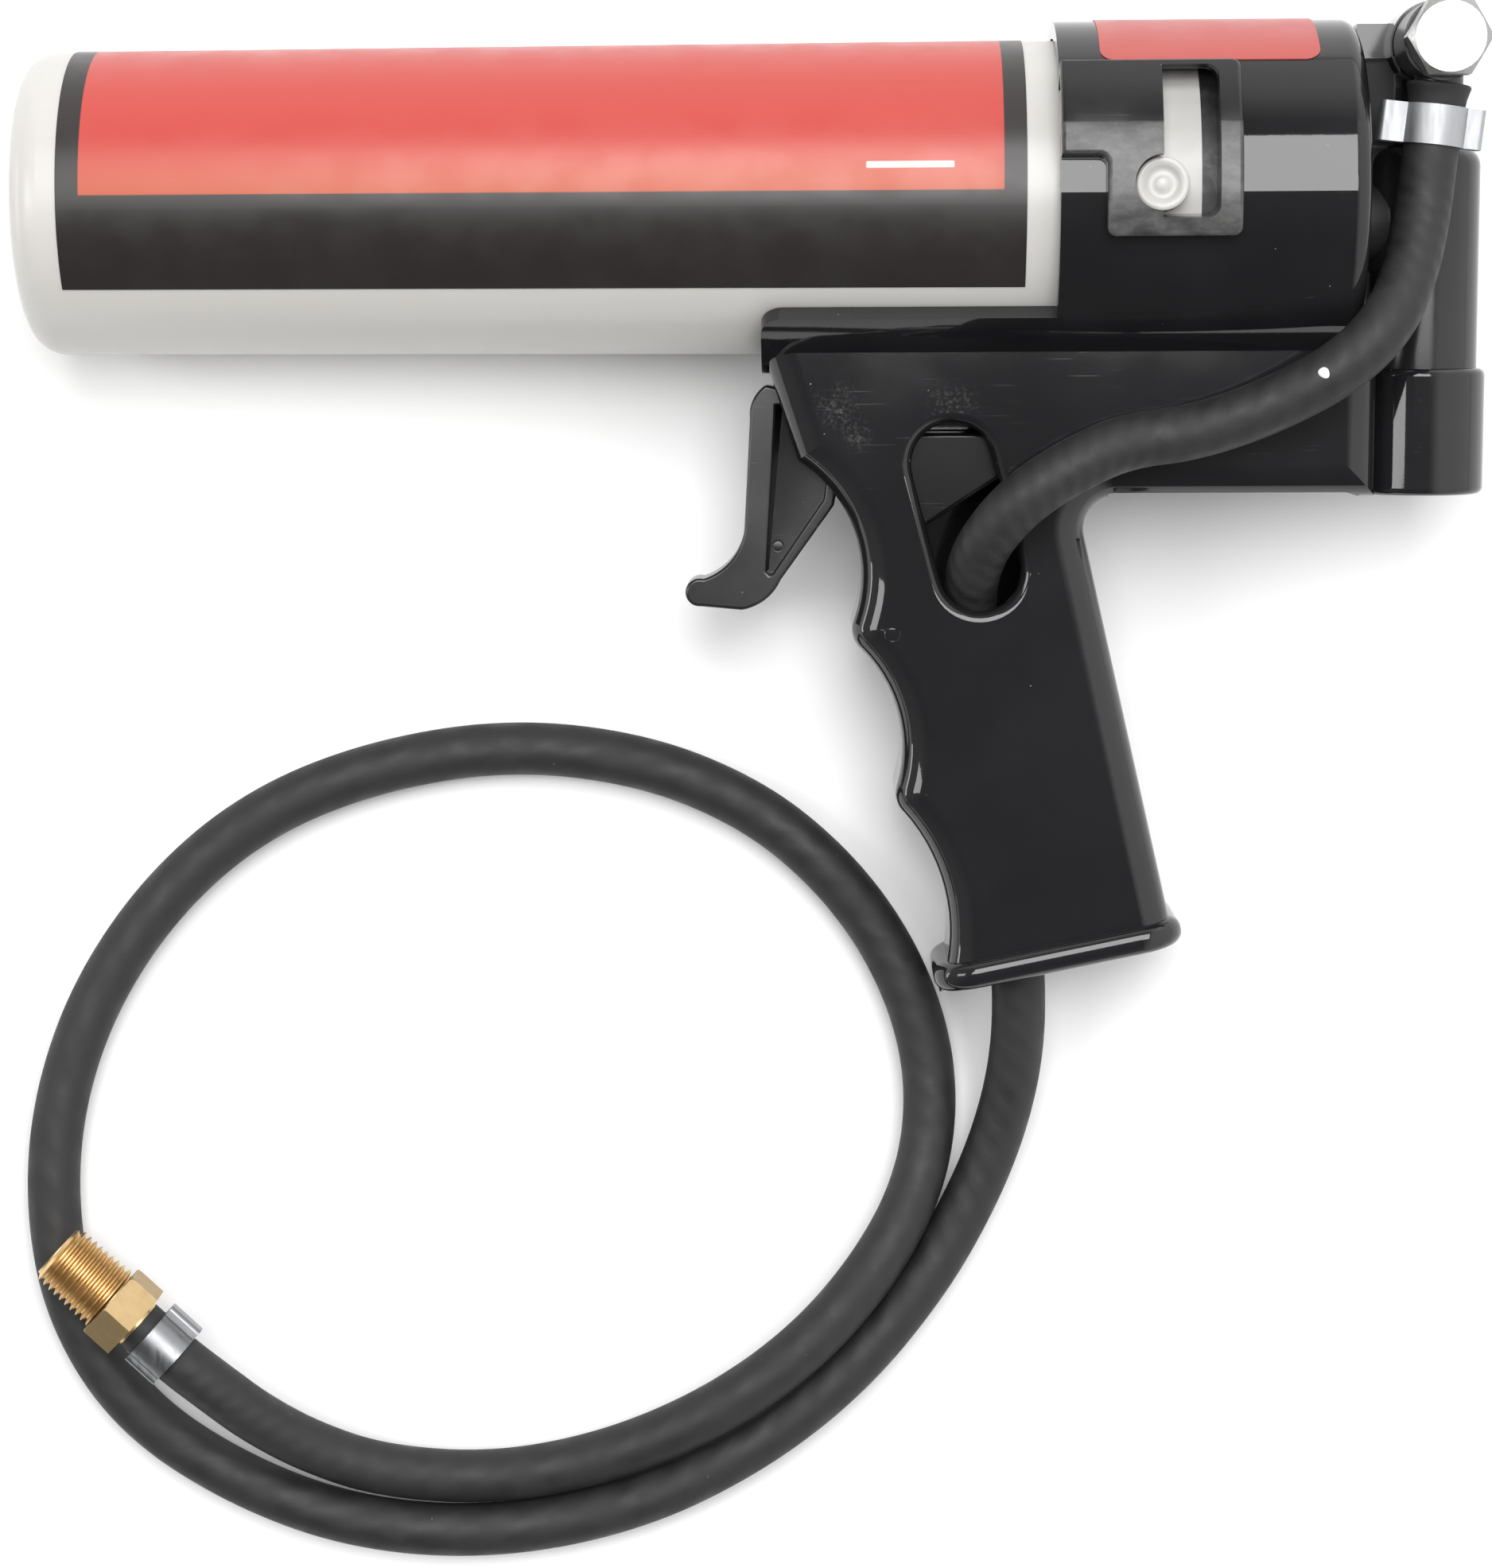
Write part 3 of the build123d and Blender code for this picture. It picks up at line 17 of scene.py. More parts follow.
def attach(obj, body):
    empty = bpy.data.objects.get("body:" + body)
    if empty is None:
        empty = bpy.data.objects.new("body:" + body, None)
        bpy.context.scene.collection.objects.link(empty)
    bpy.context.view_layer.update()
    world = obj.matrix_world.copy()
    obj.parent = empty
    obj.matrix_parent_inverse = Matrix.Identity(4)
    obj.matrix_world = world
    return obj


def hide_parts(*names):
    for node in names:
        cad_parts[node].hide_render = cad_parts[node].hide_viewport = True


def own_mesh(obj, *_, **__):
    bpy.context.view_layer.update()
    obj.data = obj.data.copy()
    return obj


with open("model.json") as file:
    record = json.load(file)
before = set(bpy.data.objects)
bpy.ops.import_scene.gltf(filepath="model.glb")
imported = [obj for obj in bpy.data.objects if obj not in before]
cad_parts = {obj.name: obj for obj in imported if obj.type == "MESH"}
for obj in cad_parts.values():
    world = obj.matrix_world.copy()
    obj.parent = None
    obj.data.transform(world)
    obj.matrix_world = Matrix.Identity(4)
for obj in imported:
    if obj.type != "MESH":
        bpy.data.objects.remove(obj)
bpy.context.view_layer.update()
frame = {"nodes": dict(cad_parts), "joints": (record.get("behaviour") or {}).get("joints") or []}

log = logging.getLogger("caulking_gun")

MM = 0.001
COLLAR_LENGTH = 56.5
RUBBED_SHEEN_Y = 12.6
TRIGGER_PIVOT = (-43.0, -41.5, 0.0)
HOSE_RADIUS = 5.2
HOSE_BORE = 2.6
WELD = 2e-3

Colour = tuple[float, float, float]
Point = tuple[float, float, float]
Span = tuple[float, float]

UP = Vector((0, 0, 1))
DUST_TONE = (0.45, 0.44, 0.42)
GRIME_TONE = (0.32, 0.29, 0.25)
CLOUD_TONE = (0.525, 0.507, 0.475)
# Grey of the collar's raised frame: part wear from rubbing, part painted sheen
RUBBED_SHEEN_TONE = (0.085, 0.085, 0.083)
# Painted shade on the valve column's web and flank
PAINTED_SHADE_TONE = (0.002, 0.002, 0.002)
STRIPE_TONE = (0.82, 0.81, 0.79)
FILM_DUST_TONE = (0.7, 0.68, 0.66)
HOSE_DUST_TONE = (0.3, 0.3, 0.29)
BLOOM_TONE = (0.06, 0.06, 0.06)


class Body(Enum):
    """CAD bodies that pieces ride on."""

    GUN = "body"
    BARREL = "barrel"
    TRIGGER = "trigger"


@dataclass(frozen=True)
class GunFrame:
    """The gun's own axes as it lies on the table: X to its rear, Y to its top, Z out of its left side."""

    matrix: Matrix

    @classmethod
    def read(cls, joints: list[dict]) -> "GunFrame":
        """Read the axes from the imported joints.

        Args:
            joints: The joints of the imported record.

        Returns:
            The frame, whose origin is on the barrel axis at the collar's front face.
        """
        named = {joint["name"]: joint for joint in joints}
        axes = [Vector(named[name]["axis"]) for name in ("barrel_push", "spool_slide", "trigger_pull")]
        turn = Matrix(axes).transposed()
        origin = Vector(named["trigger_pull"]["pos_m"]) - turn @ (Vector(TRIGGER_PIVOT) * MM)
        return cls(Matrix.Translation(origin) @ turn.to_4x4())

    def point(self, place: Point) -> Vector:
        """Table point, in metres, of a place in gun millimetres."""
        return self.matrix @ (Vector(place) * MM)

    def way(self, direction: Point) -> Vector:
        """Table direction of a gun direction."""
        return self.matrix.to_3x3() @ Vector(direction)


GUN = GunFrame.read(frame["joints"])


class Shade:
    """Nodes of one material, with the surface's place measured in gun millimetres."""

    def __init__(self, name: str) -> None:
        """Start a material with a plain Principled surface."""
        self.material = bpy.data.materials.new(name)
        self.material.use_nodes = True
        tree = self.material.node_tree
        self.nodes = tree.nodes
        self.links = tree.links
        self.surface = tree.nodes["Principled BSDF"]
        self.cached_place: NodeSocket | None = None

    def node(self, kind: str, inputs: dict | None = None, **settings: object) -> Node:
        """Add a node.

        Args:
            kind: Its type, without the shader prefix.
            inputs: Sockets to link or set, by name or number.
            settings: Properties of the node.

        Returns:
            The new node.
        """
        made = self.nodes.new("ShaderNode" + kind)
        for name, value in settings.items():
            setattr(made, name, value)
        for key, value in (inputs or {}).items():
            self.feed(made.inputs[key], value)
        return made

    def feed(self, socket: NodeSocket, value: object) -> None:
        """Link a socket to another, or set its value."""
        if isinstance(value, NodeSocket):
            self.links.new(value, socket)
        else:
            socket.default_value = value

    def set(self, **values: object) -> None:
        """Set or link the surface's sockets, named with underscores for spaces."""
        for name, value in values.items():
            words = name.replace("_", " ")
            self.feed(next(s for s in self.surface.inputs if s.name.lower() == words), value)

    def place(self) -> NodeSocket:
        """The surface's place in gun millimetres."""
        if self.cached_place is None:
            back = GUN.matrix.inverted()
            inputs = {
                "Vector": self.node("TexCoord").outputs["Object"],
                "Location": back.translation / MM,
                "Rotation": back.to_euler(),
                "Scale": (1 / MM,) * 3,
            }
            self.cached_place = self.node("Mapping", inputs).outputs[0]
        return self.cached_place

    def stretched(self, scale: Point, source: NodeSocket | None = None) -> NodeSocket:
        """The place, or another vector, scaled differently along each axis."""
        inputs = {0: source or self.place(), 1: scale}
        return self.node("VectorMath", inputs, operation="MULTIPLY").outputs[0]

    def parts(self, source: NodeSocket | None = None) -> list[NodeSocket]:
        """X, Y and Z of the place, or of another vector."""
        return list(self.node("SeparateXYZ", {0: source or self.place()}).outputs)

    def math(self, operation: str, *values: object) -> NodeSocket:
        """A Math node's result."""
        return self.node("Math", dict(enumerate(values)), operation=operation).outputs[0]

    def times(self, first: object, second: object) -> NodeSocket:
        """The product of two values."""
        return self.math("MULTIPLY", first, second)

    def plus(self, first: object, second: object) -> NodeSocket:
        """The sum of two values."""
        return self.math("ADD", first, second)

    def noise(self, size: float, source: NodeSocket | None = None, detail: float = 3.0,
              rough: float = 0.55) -> NodeSocket:
        """Soft noise with features of about a size in millimetres."""
        inputs = {"Vector": source or self.place(), "Scale": 1 / size, "Detail": detail, "Roughness": rough}
        return self.node("TexNoise", inputs).outputs[0]

    def fit(self, value: object, low: float, high: float, to_low: float = 0.0,
            to_high: float = 1.0) -> NodeSocket:
        """A value eased from one span into another."""
        inputs = {"Value": value, "From Min": low, "From Max": high, "To Min": to_low, "To Max": to_high}
        return self.node("MapRange", inputs, interpolation_type="SMOOTHSTEP").outputs[0]

    def band(self, value: object, low: float, high: float, soft: float) -> NodeSocket:
        """1 where a value lies between two limits, with soft edges."""
        rise = self.fit(value, low - soft, low + soft)
        fall = self.fit(value, high - soft, high + soft, 1.0, 0.0)
        return self.times(rise, fall)

    def mix(self, share: object, first: object, second: object) -> NodeSocket:
        """Two colours mixed by a share."""
        first, second = [(*c, 1.0) if isinstance(c, tuple) else c for c in (first, second)]
        return self.node("Mix", {0: share, 6: first, 7: second}, data_type="RGBA").outputs[2]

    def specks(self, spacing: float, share: float, size: float) -> NodeSocket:
        """Mask of scattered specks.

        Args:
            spacing: Distance between places where a speck can lie, in millimetres.
            share: Part of those places that have one.
            size: Radius of a speck, in spacings.

        Returns:
            The mask, 1 on a speck.
        """
        cells = self.node("TexVoronoi", {"Vector": self.place(), "Scale": 1 / spacing})
        chosen = self.math("LESS_THAN", self.parts(cells.outputs["Color"])[0], share)
        near = self.fit(cells.outputs["Distance"], size * 0.6, size, 1.0, 0.0)
        return self.times(chosen, near)

    def bump(self, height: object, depth: float,
             normal: NodeSocket | None = None) -> NodeSocket:
        """Bump of a height from 0 to 1, for a depth in millimetres."""
        inputs = {"Height": height, "Distance": depth * MM, "Strength": 1.0}
        if normal is not None:
            inputs["Normal"] = normal
        return self.node("Bump", inputs).outputs[0]


@dataclass(frozen=True)
class Finish:
    """A surface with a colour, a gloss and a record slot."""

    name: str
    slot: str
    colour: Colour
    roughness: float

    def make(self) -> Material:
        """Build the material."""
        shade = Shade(self.name)
        self.dress(shade)
        return shade.material

    def dress(self, shade: Shade) -> None:
        """Set the surface's sockets."""
        raise NotImplementedError


@dataclass(frozen=True)
class Dent:
    """A shallow sink mark: its place in gun millimetres, its reach and its depth."""

    place: Point
    reach: float
    depth: float


@dataclass(frozen=True)
class DullShadedArea:
    """A part of a moulding that loses its gloss and is painted dark as shade, between limits in gun X and gun
    Y.
    """

    x: Span
    y: Span


@dataclass
class Skin:
    """Colour, roughness and normal of a surface while its layers are laid on."""

    tone: object
    rough: object
    normal: object


@dataclass(frozen=True)
class Moulding(Finish):
    """Moulded black plastic with dust, hairline scratches and a slightly wavy skin."""

    smudge: float = 0.12
    wave: float = 0.02
    grain: float = 0.002
    dust: float = 0.02
    scratched: float = 0.08
    crazed: float = 0.11
    dents: tuple[Dent, ...] = ()
    rubbed_sheen_above: float = 0.0
    dull_shaded: tuple[DullShadedArea, ...] = ()

    def dress(self, shade: Shade) -> None:
        """Set colour, gloss and bump."""
        dust = shade.math("MAXIMUM", shade.specks(1.3, self.dust, 0.11), shade.specks(6.5, self.dust, 0.035))
        tint = shade.fit(shade.noise(30.0), 0.35, 0.7)
        tone = shade.mix(tint, self.colour, tuple(c * 1.35 for c in self.colour))
        lines = shade.noise(1.0, shade.stretched((0.06, 2.2, 2.2)), 2.0)
        scratch = shade.times(shade.fit(lines, 0.66, 0.74), self.scratched)
        smear = shade.fit(shade.noise(22.0, detail=5.0), 0.45, 0.75, 0.0, self.smudge)
        skin = Skin(
            shade.mix(shade.times(dust, 0.6), tone, DUST_TONE),
            shade.plus(shade.plus(smear, self.roughness), scratch),
            shade.bump(shade.noise(26.0, detail=1.0), self.wave),
        )
        if self.rubbed_sheen_above:
            self.rub_and_sheen(shade, skin)
        for area in self.dull_shaded:
            self.dull_and_shade(shade, skin, area)
        for dent in self.dents:
            self.sink(shade, skin, dent)
        normal = shade.bump(shade.noise(0.5, detail=2.0), self.grain, skin.normal)
        shade.set(base_color=skin.tone, roughness=skin.rough, normal=normal, ior=1.54)

    def rub_and_sheen(self, shade: Shade, skin: Skin) -> None:
        """Make the collar's raised frame satin, and paint its near part grey: part wear from rubbing, part
        painted sheen.
        """
        x, y, z = shade.parts()
        reach = shade.math("SQRT", shade.plus(shade.math("POWER", y, 2.0), shade.math("POWER", z, 2.0)))
        on_collar = shade.times(shade.band(x, 0.0, COLLAR_LENGTH, 1.0), shade.fit(y, -28.0, -26.0))
        raised = shade.times(shade.fit(reach, self.rubbed_sheen_above, self.rubbed_sheen_above + 0.5), on_collar)
        rubbed_sheen = shade.times(raised, shade.fit(y, RUBBED_SHEEN_Y - 0.3, RUBBED_SHEEN_Y + 0.3, 1.0, 0.0))
        scuff = shade.noise(3.2, shade.stretched((0.6, 1.0, 1.0)), 6.0, 0.68)
        satin = shade.fit(shade.noise(9.0, detail=4.0), 0.3, 0.7, 0.12, 0.22)
        # Painted sheen with wear: the near part of the raised frame turns grey
        share = shade.times(rubbed_sheen, shade.fit(scuff, 0.32, 0.7, 0.2, 1.0))
        skin.tone = shade.mix(share, skin.tone, RUBBED_SHEEN_TONE)
        skin.rough = shade.plus(skin.rough, shade.times(raised, satin))
        skin.rough = shade.plus(skin.rough, shade.times(rubbed_sheen, 0.12))
        skin.normal = shade.bump(shade.times(rubbed_sheen, scuff), 0.03, skin.normal)

    def dull_and_shade(self, shade: Shade, skin: Skin, area: DullShadedArea) -> None:
        """Take the gloss off an area and paint it dark, as painted shade."""
        x, y, _ = shade.parts()
        inside = shade.times(shade.band(x, *area.x, 0.3), shade.band(y, *area.y, 0.3))
        # Painted shade: the area's colour goes nearly black
        skin.tone = shade.mix(shade.times(inside, 0.7), skin.tone, PAINTED_SHADE_TONE)
        skin.rough = shade.plus(skin.rough, shade.times(inside, 0.5))

    def sink(self, shade: Shade, skin: Skin, dent: Dent) -> None:
        """Sink a dent, with its middle crazed."""
        inputs = {0: shade.place(), 1: dent.place}
        away = shade.node("VectorMath", inputs, operation="DISTANCE").outputs["Value"]
        hollow = shade.fit(away, 0.0, dent.reach)
        cracks = shade.fit(shade.noise(0.6, detail=5.0), 0.4, 0.7)
        crazed = shade.times(shade.math("SUBTRACT", 1.0, hollow), cracks)
        skin.normal = shade.bump(hollow, dent.depth, skin.normal)
        skin.rough = shade.plus(skin.rough, shade.times(crazed, self.crazed))


@dataclass(frozen=True)
class NaturalPlastic(Finish):
    """Undyed moulded plastic, off-white and a little translucent, with faint flow lines."""

    def dress(self, shade: Shade) -> None:
        """Set colour, gloss and bump."""
        flow = shade.noise(3.0, shade.stretched((0.03, 1.0, 1.0)), 4.0)
        cloud = shade.noise(70.0, detail=1.0)
        tone = shade.mix(shade.fit(flow, 0.35, 0.7), self.colour, tuple(c * 0.99 for c in self.colour))
        tone = shade.mix(shade.fit(cloud, 0.3, 0.8, 0.0, 0.2), tone, CLOUD_TONE)
        tone = shade.mix(shade.times(shade.specks(5.0, 0.04, 0.03), 0.5), tone, GRIME_TONE)
        rough = shade.fit(shade.noise(30.0), 0.3, 0.7, self.roughness - 0.01, self.roughness + 0.02)
        normal = shade.bump(flow, 0.003)
        shade.set(base_color=tone, roughness=rough, normal=normal, subsurface_weight=0.12,
                  subsurface_radius=(0.004, 0.0035, 0.0028), subsurface_scale=1.0)


@dataclass(frozen=True)
class Film(Finish):
    """Printed film: a coloured panel in a border, in gun X and degrees round the barrel."""

    border: Colour = (0.016, 0.013, 0.013)
    orange_sheen: Span = (0.077, 0.027)
    panel_x: Span = (-180.6, -10.1)
    panel_turn: Span = (1.5, 84.0)
    seam_turn: float = -3.5
    stripe_x: Span = (-35.2, -19.3)
    stripe_turn: Span = (9.5, 11.7)
    bordered: bool = True

    def dress(self, shade: Shade) -> None:
        """Set colour, gloss and bump."""
        x, y, z = shade.parts()
        turn = shade.math("DEGREES", shade.math("ARCTAN2", y, z))
        # Towards the barrel's lower side the red turns orange: part the print's own tint, part painted sheen
        sheen_share = shade.fit(turn, -2.0, 24.0, 1.0, 0.0)
        ink = shade.mix(sheen_share, self.colour, (self.colour[0] * 0.93, *self.orange_sheen))
        if self.bordered:
            panel = shade.times(shade.band(x, *self.panel_x, 0.12), shade.band(turn, *self.panel_turn, 0.25))
            # The border turns lighter past the seam
            past_seam = shade.fit(turn, self.seam_turn - 0.3, self.seam_turn, 0.0, 0.5)
            grain = shade.times(shade.noise(0.35, detail=2.0), 0.5)
            dark = shade.mix(shade.plus(past_seam, grain), self.border, tuple(c * 1.9 for c in self.border))
            ink = shade.mix(panel, dark, ink)
            stripe = shade.times(shade.band(x, *self.stripe_x, 0.3), shade.band(turn, *self.stripe_turn, 0.3))
            ink = shade.mix(stripe, ink, STRIPE_TONE)
        ink = shade.mix(shade.times(shade.specks(4.0, 0.02, 0.03), 0.6), ink, FILM_DUST_TONE)
        rough = shade.fit(shade.noise(9.0), 0.3, 0.7, self.roughness - 0.04, self.roughness + 0.06)
        ripple = shade.noise(14.0, shade.stretched((0.25, 1.0, 1.0)), 2.0)
        normal = shade.bump(ripple, 0.03)
        shade.set(base_color=ink, roughness=rough, normal=normal)


@dataclass(frozen=True)
class HoseRubber(Finish):
    """Matte rubber with the faint spiral print of the cloth it was cured in."""

    turns: float = 150.0
    starts: float = 4.0

    def dress(self, shade: Shade) -> None:
        """Set colour, gloss and bump."""
        along, around, _ = shade.parts(shade.node("TexCoord").outputs["UV"])
        lead = shade.times(along, self.turns)
        waves = []
        for hand in (1.0, -1.0):
            phase = shade.plus(lead, shade.times(around, hand * self.starts))
            waves.append(shade.math("SINE", shade.times(phase, 2 * math.pi)))
        weave = shade.fit(shade.plus(waves[0], shade.times(waves[1], 0.3)), -1.3, 1.3)
        mottle = shade.noise(7.0, detail=4.0)
        grit = shade.noise(0.45, detail=3.0)
        tone = shade.mix(shade.fit(mottle, 0.35, 0.7), self.colour, tuple(c * 1.4 for c in self.colour))
        tone = shade.mix(shade.times(weave, 0.35), tone, tuple(c * 1.5 for c in self.colour))
        tone = shade.mix(shade.times(shade.specks(1.6, 0.02, 0.09), 0.5), tone, HOSE_DUST_TONE)
        rough = shade.fit(mottle, 0.3, 0.7, self.roughness - 0.08, self.roughness + 0.08)
        normal = shade.bump(weave, 0.10, shade.bump(grit, 0.03))
        shade.set(base_color=tone, roughness=rough, normal=normal)


@dataclass(frozen=True)
class Rubber(Finish):
    """Smooth black seal rubber with a light bloom."""

    def dress(self, shade: Shade) -> None:
        """Set colour, gloss and bump."""
        bloom = shade.fit(shade.noise(3.0, detail=4.0), 0.4, 0.75, 0.0, 0.4)
        tone = shade.mix(bloom, self.colour, BLOOM_TONE)
        rough = shade.fit(shade.noise(1.5), 0.3, 0.7, self.roughness - 0.07, self.roughness + 0.07)
        shade.set(base_color=tone, roughness=rough, normal=shade.bump(shade.noise(0.3), 0.01))


@dataclass(frozen=True)
class Metal(Finish):
    """Bare or plated metal with tool lines along one gun axis and faint tarnish."""

    lines: Point = (1.0, 0.05, 1.0)
    tarnish: Colour = (0.3, 0.29, 0.28)
    worn: float = 0.25
    depth: float = 0.004

    def dress(self, shade: Shade) -> None:
        """Set colour, gloss and bump."""
        streak = shade.noise(0.35, shade.stretched(self.lines), 3.0)
        patch = shade.fit(shade.noise(2.6, detail=5.0), 0.52, 0.78, 0.0, self.worn)
        tone = shade.mix(patch, self.colour, self.tarnish)
        tooled = shade.fit(streak, 0.3, 0.7, self.roughness - 0.05, self.roughness + 0.08)
        rough = shade.plus(tooled, shade.times(patch, 0.3))
        shade.set(base_color=tone, roughness=rough, metallic=1.0, normal=shade.bump(streak, self.depth))


BODY_GLOSS = Moulding(
    "gloss_black_moulding", "body_gloss", (0.0095, 0.0095, 0.0105), 0.05,
    dents=(Dent((-40.6, -38.9, 16.0), 7.0, 0.03), Dent((-36.6, -44.2, 16.0), 5.0, 0.03),
           Dent((-18.5, -39.4, 16.0), 8.0, 0.015)),
    smudge=0.03, wave=0.05, rubbed_sheen_above=33.9,
)
COLUMN_GLOSS = Moulding("column_black_moulding", "column_plastic", (0.011, 0.011, 0.012), 0.12,
                        dull_shaded=(DullShadedArea((56.0, 64.2), (9.3, 25.3)), DullShadedArea((56.0, 63.0), (-14.0, 9.0))))
BANJO_BLACK = Moulding("banjo_black_moulding", "banjo_plastic", (0.012, 0.012, 0.012), 0.3)
TRIGGER_SATIN = Moulding("satin_trigger_moulding", "trigger_satin", (0.0105, 0.0105, 0.0115), 0.2,
                         smudge=0.06, wave=0.05, grain=0.004)
LEVER_SATIN = Moulding("satin_lever_moulding", "lever_plastic", (0.010, 0.010, 0.0105), 0.12,
                       smudge=0.03, grain=0.004)
PAINT_WHITE = NaturalPlastic("white_paint_dab", "hose_rubber", (0.8, 0.79, 0.77), 0.5)
PIN_WHITE = NaturalPlastic("natural_pin_plastic", "barrel_natural", (0.5, 0.49, 0.47), 0.3)
BARREL_WHITE = NaturalPlastic("natural_barrel_plastic", "barrel_natural", (0.545, 0.53, 0.507), 0.3)
LABEL_FILM = Film("red_label_film", "label_film", (0.47, 0.061, 0.05), 0.34)
STICKER_FILM = Film("red_sticker_film", "sticker_film", (0.43, 0.079, 0.07), 0.34, bordered=False)
HOSE_BLACK = HoseRubber("charcoal_hose_rubber", "hose_rubber", (0.0125, 0.0123, 0.0125), 0.62)
SEAL_BLACK = Rubber("black_seal_rubber", "seal_rubber", (0.014, 0.014, 0.014), 0.45)
STEEL = Metal("turned_pin_steel", "pin_steel", (0.56, 0.56, 0.57), 0.34)
WIRE = Metal("drawn_spring_wire", "spring_steel", (0.5, 0.5, 0.51), 0.34)
PLATE = Metal("turned_plate_aluminium", "plate_metal", (0.78, 0.78, 0.79), 0.33)
WASHER = Rubber("dark_washer_fibre", "washer_metal", (0.013, 0.013, 0.013), 0.5)
NICKEL = Metal("bright_hex_nickel", "hex_nickel", (0.42, 0.417, 0.41), 0.4,
               lines=(1.0, 1.0, 1.0), worn=0.12)
ZINC = Metal("bright_clamp_zinc", "clamp_zinc", (0.45, 0.457, 0.47), 0.52,
             lines=(0.3, 0.05, 0.3), worn=0.1, depth=0.0006)
# A darker zinc for the end clamp than for the top clamp
DARKER_ZINC = Metal("darker_clamp_zinc", "clamp_zinc", (0.27, 0.275, 0.285), 0.36,
                  lines=(0.3, 0.05, 0.3), worn=0.1, depth=0.0006)
VALVE_BRASS = Metal("turned_valve_brass", "valve_brass", (0.75, 0.54, 0.22), 0.34,
                    tarnish=(0.3, 0.19, 0.07))
FITTING_BRASS = Metal("machined_fitting_brass", "fitting_brass", (0.66, 0.475, 0.24), 0.33,
                      lines=(0.12, 0.12, 1.0), tarnish=(0.62, 0.42, 0.18), worn=0.3, depth=0.0012)
HEX_BRASS = Metal("brushed_hexagon_brass", "fitting_brass", (0.4, 0.292, 0.152), 0.46,
                  lines=(0.12, 0.12, 1.0), tarnish=(0.3, 0.19, 0.08), worn=0.35, depth=0.003)

NODE_FINISHES: dict[str, Finish] = {
    "main_body": BODY_GLOSS,
    "collar_sticker": STICKER_FILM,
    "barrel": BARREL_WHITE,
    "barrel_pins": BARREL_WHITE,
    "barrel_label": LABEL_FILM,
    "barrel_gasket": SEAL_BLACK,
    "seal_plate": PLATE,
    "plate_o_ring": SEAL_BLACK,
    "lock_spring": WIRE,
    "trigger": TRIGGER_SATIN,
    "trigger_pin": STEEL,
    "rocker_lever": LEVER_SATIN,
    "lever_pin": STEEL,
    "valve_column": COLUMN_GLOSS,
    "valve_spool": VALVE_BRASS,
    "spool_o_rings": SEAL_BLACK,
    "spool_guide": VALVE_BRASS,
    "valve_spring": WIRE,
    "transfer_tube": VALVE_BRASS,
    "transfer_o_ring": SEAL_BLACK,
    "banjo_bolt": NICKEL,
    "banjo_washers": WASHER,
    "banjo_fitting": BANJO_BLACK,
    "air_hose": HOSE_BLACK,
    "hose_clamp_top": ZINC,
    "hose_clamp_end": ZINC,
    "brass_fitting": FITTING_BRASS,
}


class Workshop:
    """Makes each material once, and turns meshes into pieces that ride on a body."""

    def __init__(self) -> None:
        """Start with no materials."""
        self.materials: dict[str, Material] = {}

    def material(self, finish: Finish) -> Material:
        """The material of a finish, made on first use."""
        if finish.name not in self.materials:
            self.materials[finish.name] = finish.make()
        return self.materials[finish.name]

    def dress_nodes(self) -> None:
        """Give every CAD node its finish."""
        for name, finish in NODE_FINISHES.items():
            node = frame["nodes"][name]
            node.data.materials.clear()
            node.data.materials.append(self.material(finish))
            log.info("dressed %s in %s", name, finish.name)

    def piece(self, name: str, bm: BMesh, body: Body, finish: Finish, place: Matrix | None = None,
              sharp: float = 35.0, node: str | None = None) -> Object:
        """Turn a mesh that is drawn in millimetres into a piece.

        Args:
            name: The piece's name.
            bm: The mesh, which is freed.
            body: The CAD body that it rides on.
            finish: Its finish.
            place: Its frame on the table, or the gun's frame if left out.
            sharp: Angle in degrees past which an edge stays sharp.
            node: The CAD node that it stands for, if any.

        Returns:
            The new object.
        """
        bmesh.ops.remove_doubles(bm, verts=bm.verts, dist=1e-4)
        bmesh.ops.recalc_face_normals(bm, faces=bm.faces)
        bmesh.ops.transform(bm, matrix=(place or GUN.matrix) @ Matrix.Scale(MM, 4), verts=bm.verts)
        mesh = bpy.data.meshes.new(name)
        bm.to_mesh(mesh)
        bm.free()
        mesh.shade_smooth()
        mesh.set_sharp_from_angle(angle=math.radians(sharp))
        mesh.materials.append(self.material(finish))
        made = bpy.data.objects.new(name, mesh)
        bpy.context.scene.collection.objects.link(made)
        made.modifiers.new("face_weights", "WEIGHTED_NORMAL").keep_sharp = True
        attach(made, body.value)
        if node is not None:
            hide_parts(node)
        log.info("made %s with %d faces", name, len(mesh.polygons))
        return made


def lathe(bm: BMesh, profile: list[Span], steps: int = 48) -> None:
    """Spin a closed profile of radius and height round Z.

    Args:
        bm: The mesh that gets the solid.
        profile: Radius and height of each corner, in order.
        steps: Number of sides.
    """
    verts = [bm.verts.new((radius, 0.0, height)) for radius, height in profile]
    edges = [bm.edges.new(pair) for pair in zip(verts, verts[1:] + verts[:1])]
    bmesh.ops.spin(bm, geom=[*verts, *edges], cent=(0, 0, 0), axis=(0, 0, 1), angle=2 * math.pi, steps=steps,
                   use_merge=True)
    bmesh.ops.remove_doubles(bm, verts=bm.verts, dist=1e-4)
    bmesh.ops.delete(bm, geom=[edge for edge in bm.edges if not edge.link_faces], context="EDGES")


def soften(bm: BMesh, edges: list[BMEdge], offset: float, segments: int,
           clamp: bool = True) -> None:
    """Round edges.

    Args:
        bm: The mesh.
        edges: The edges to round.
        offset: Width of the rounding, in millimetres.
        segments: Number of faces across it.
        clamp: Whether roundings stop where they meet.
    """
    bmesh.ops.bevel(bm, geom=edges, affect="EDGES", offset=offset, segments=segments, profile=0.5,
                    material=-1, clamp_overlap=clamp)


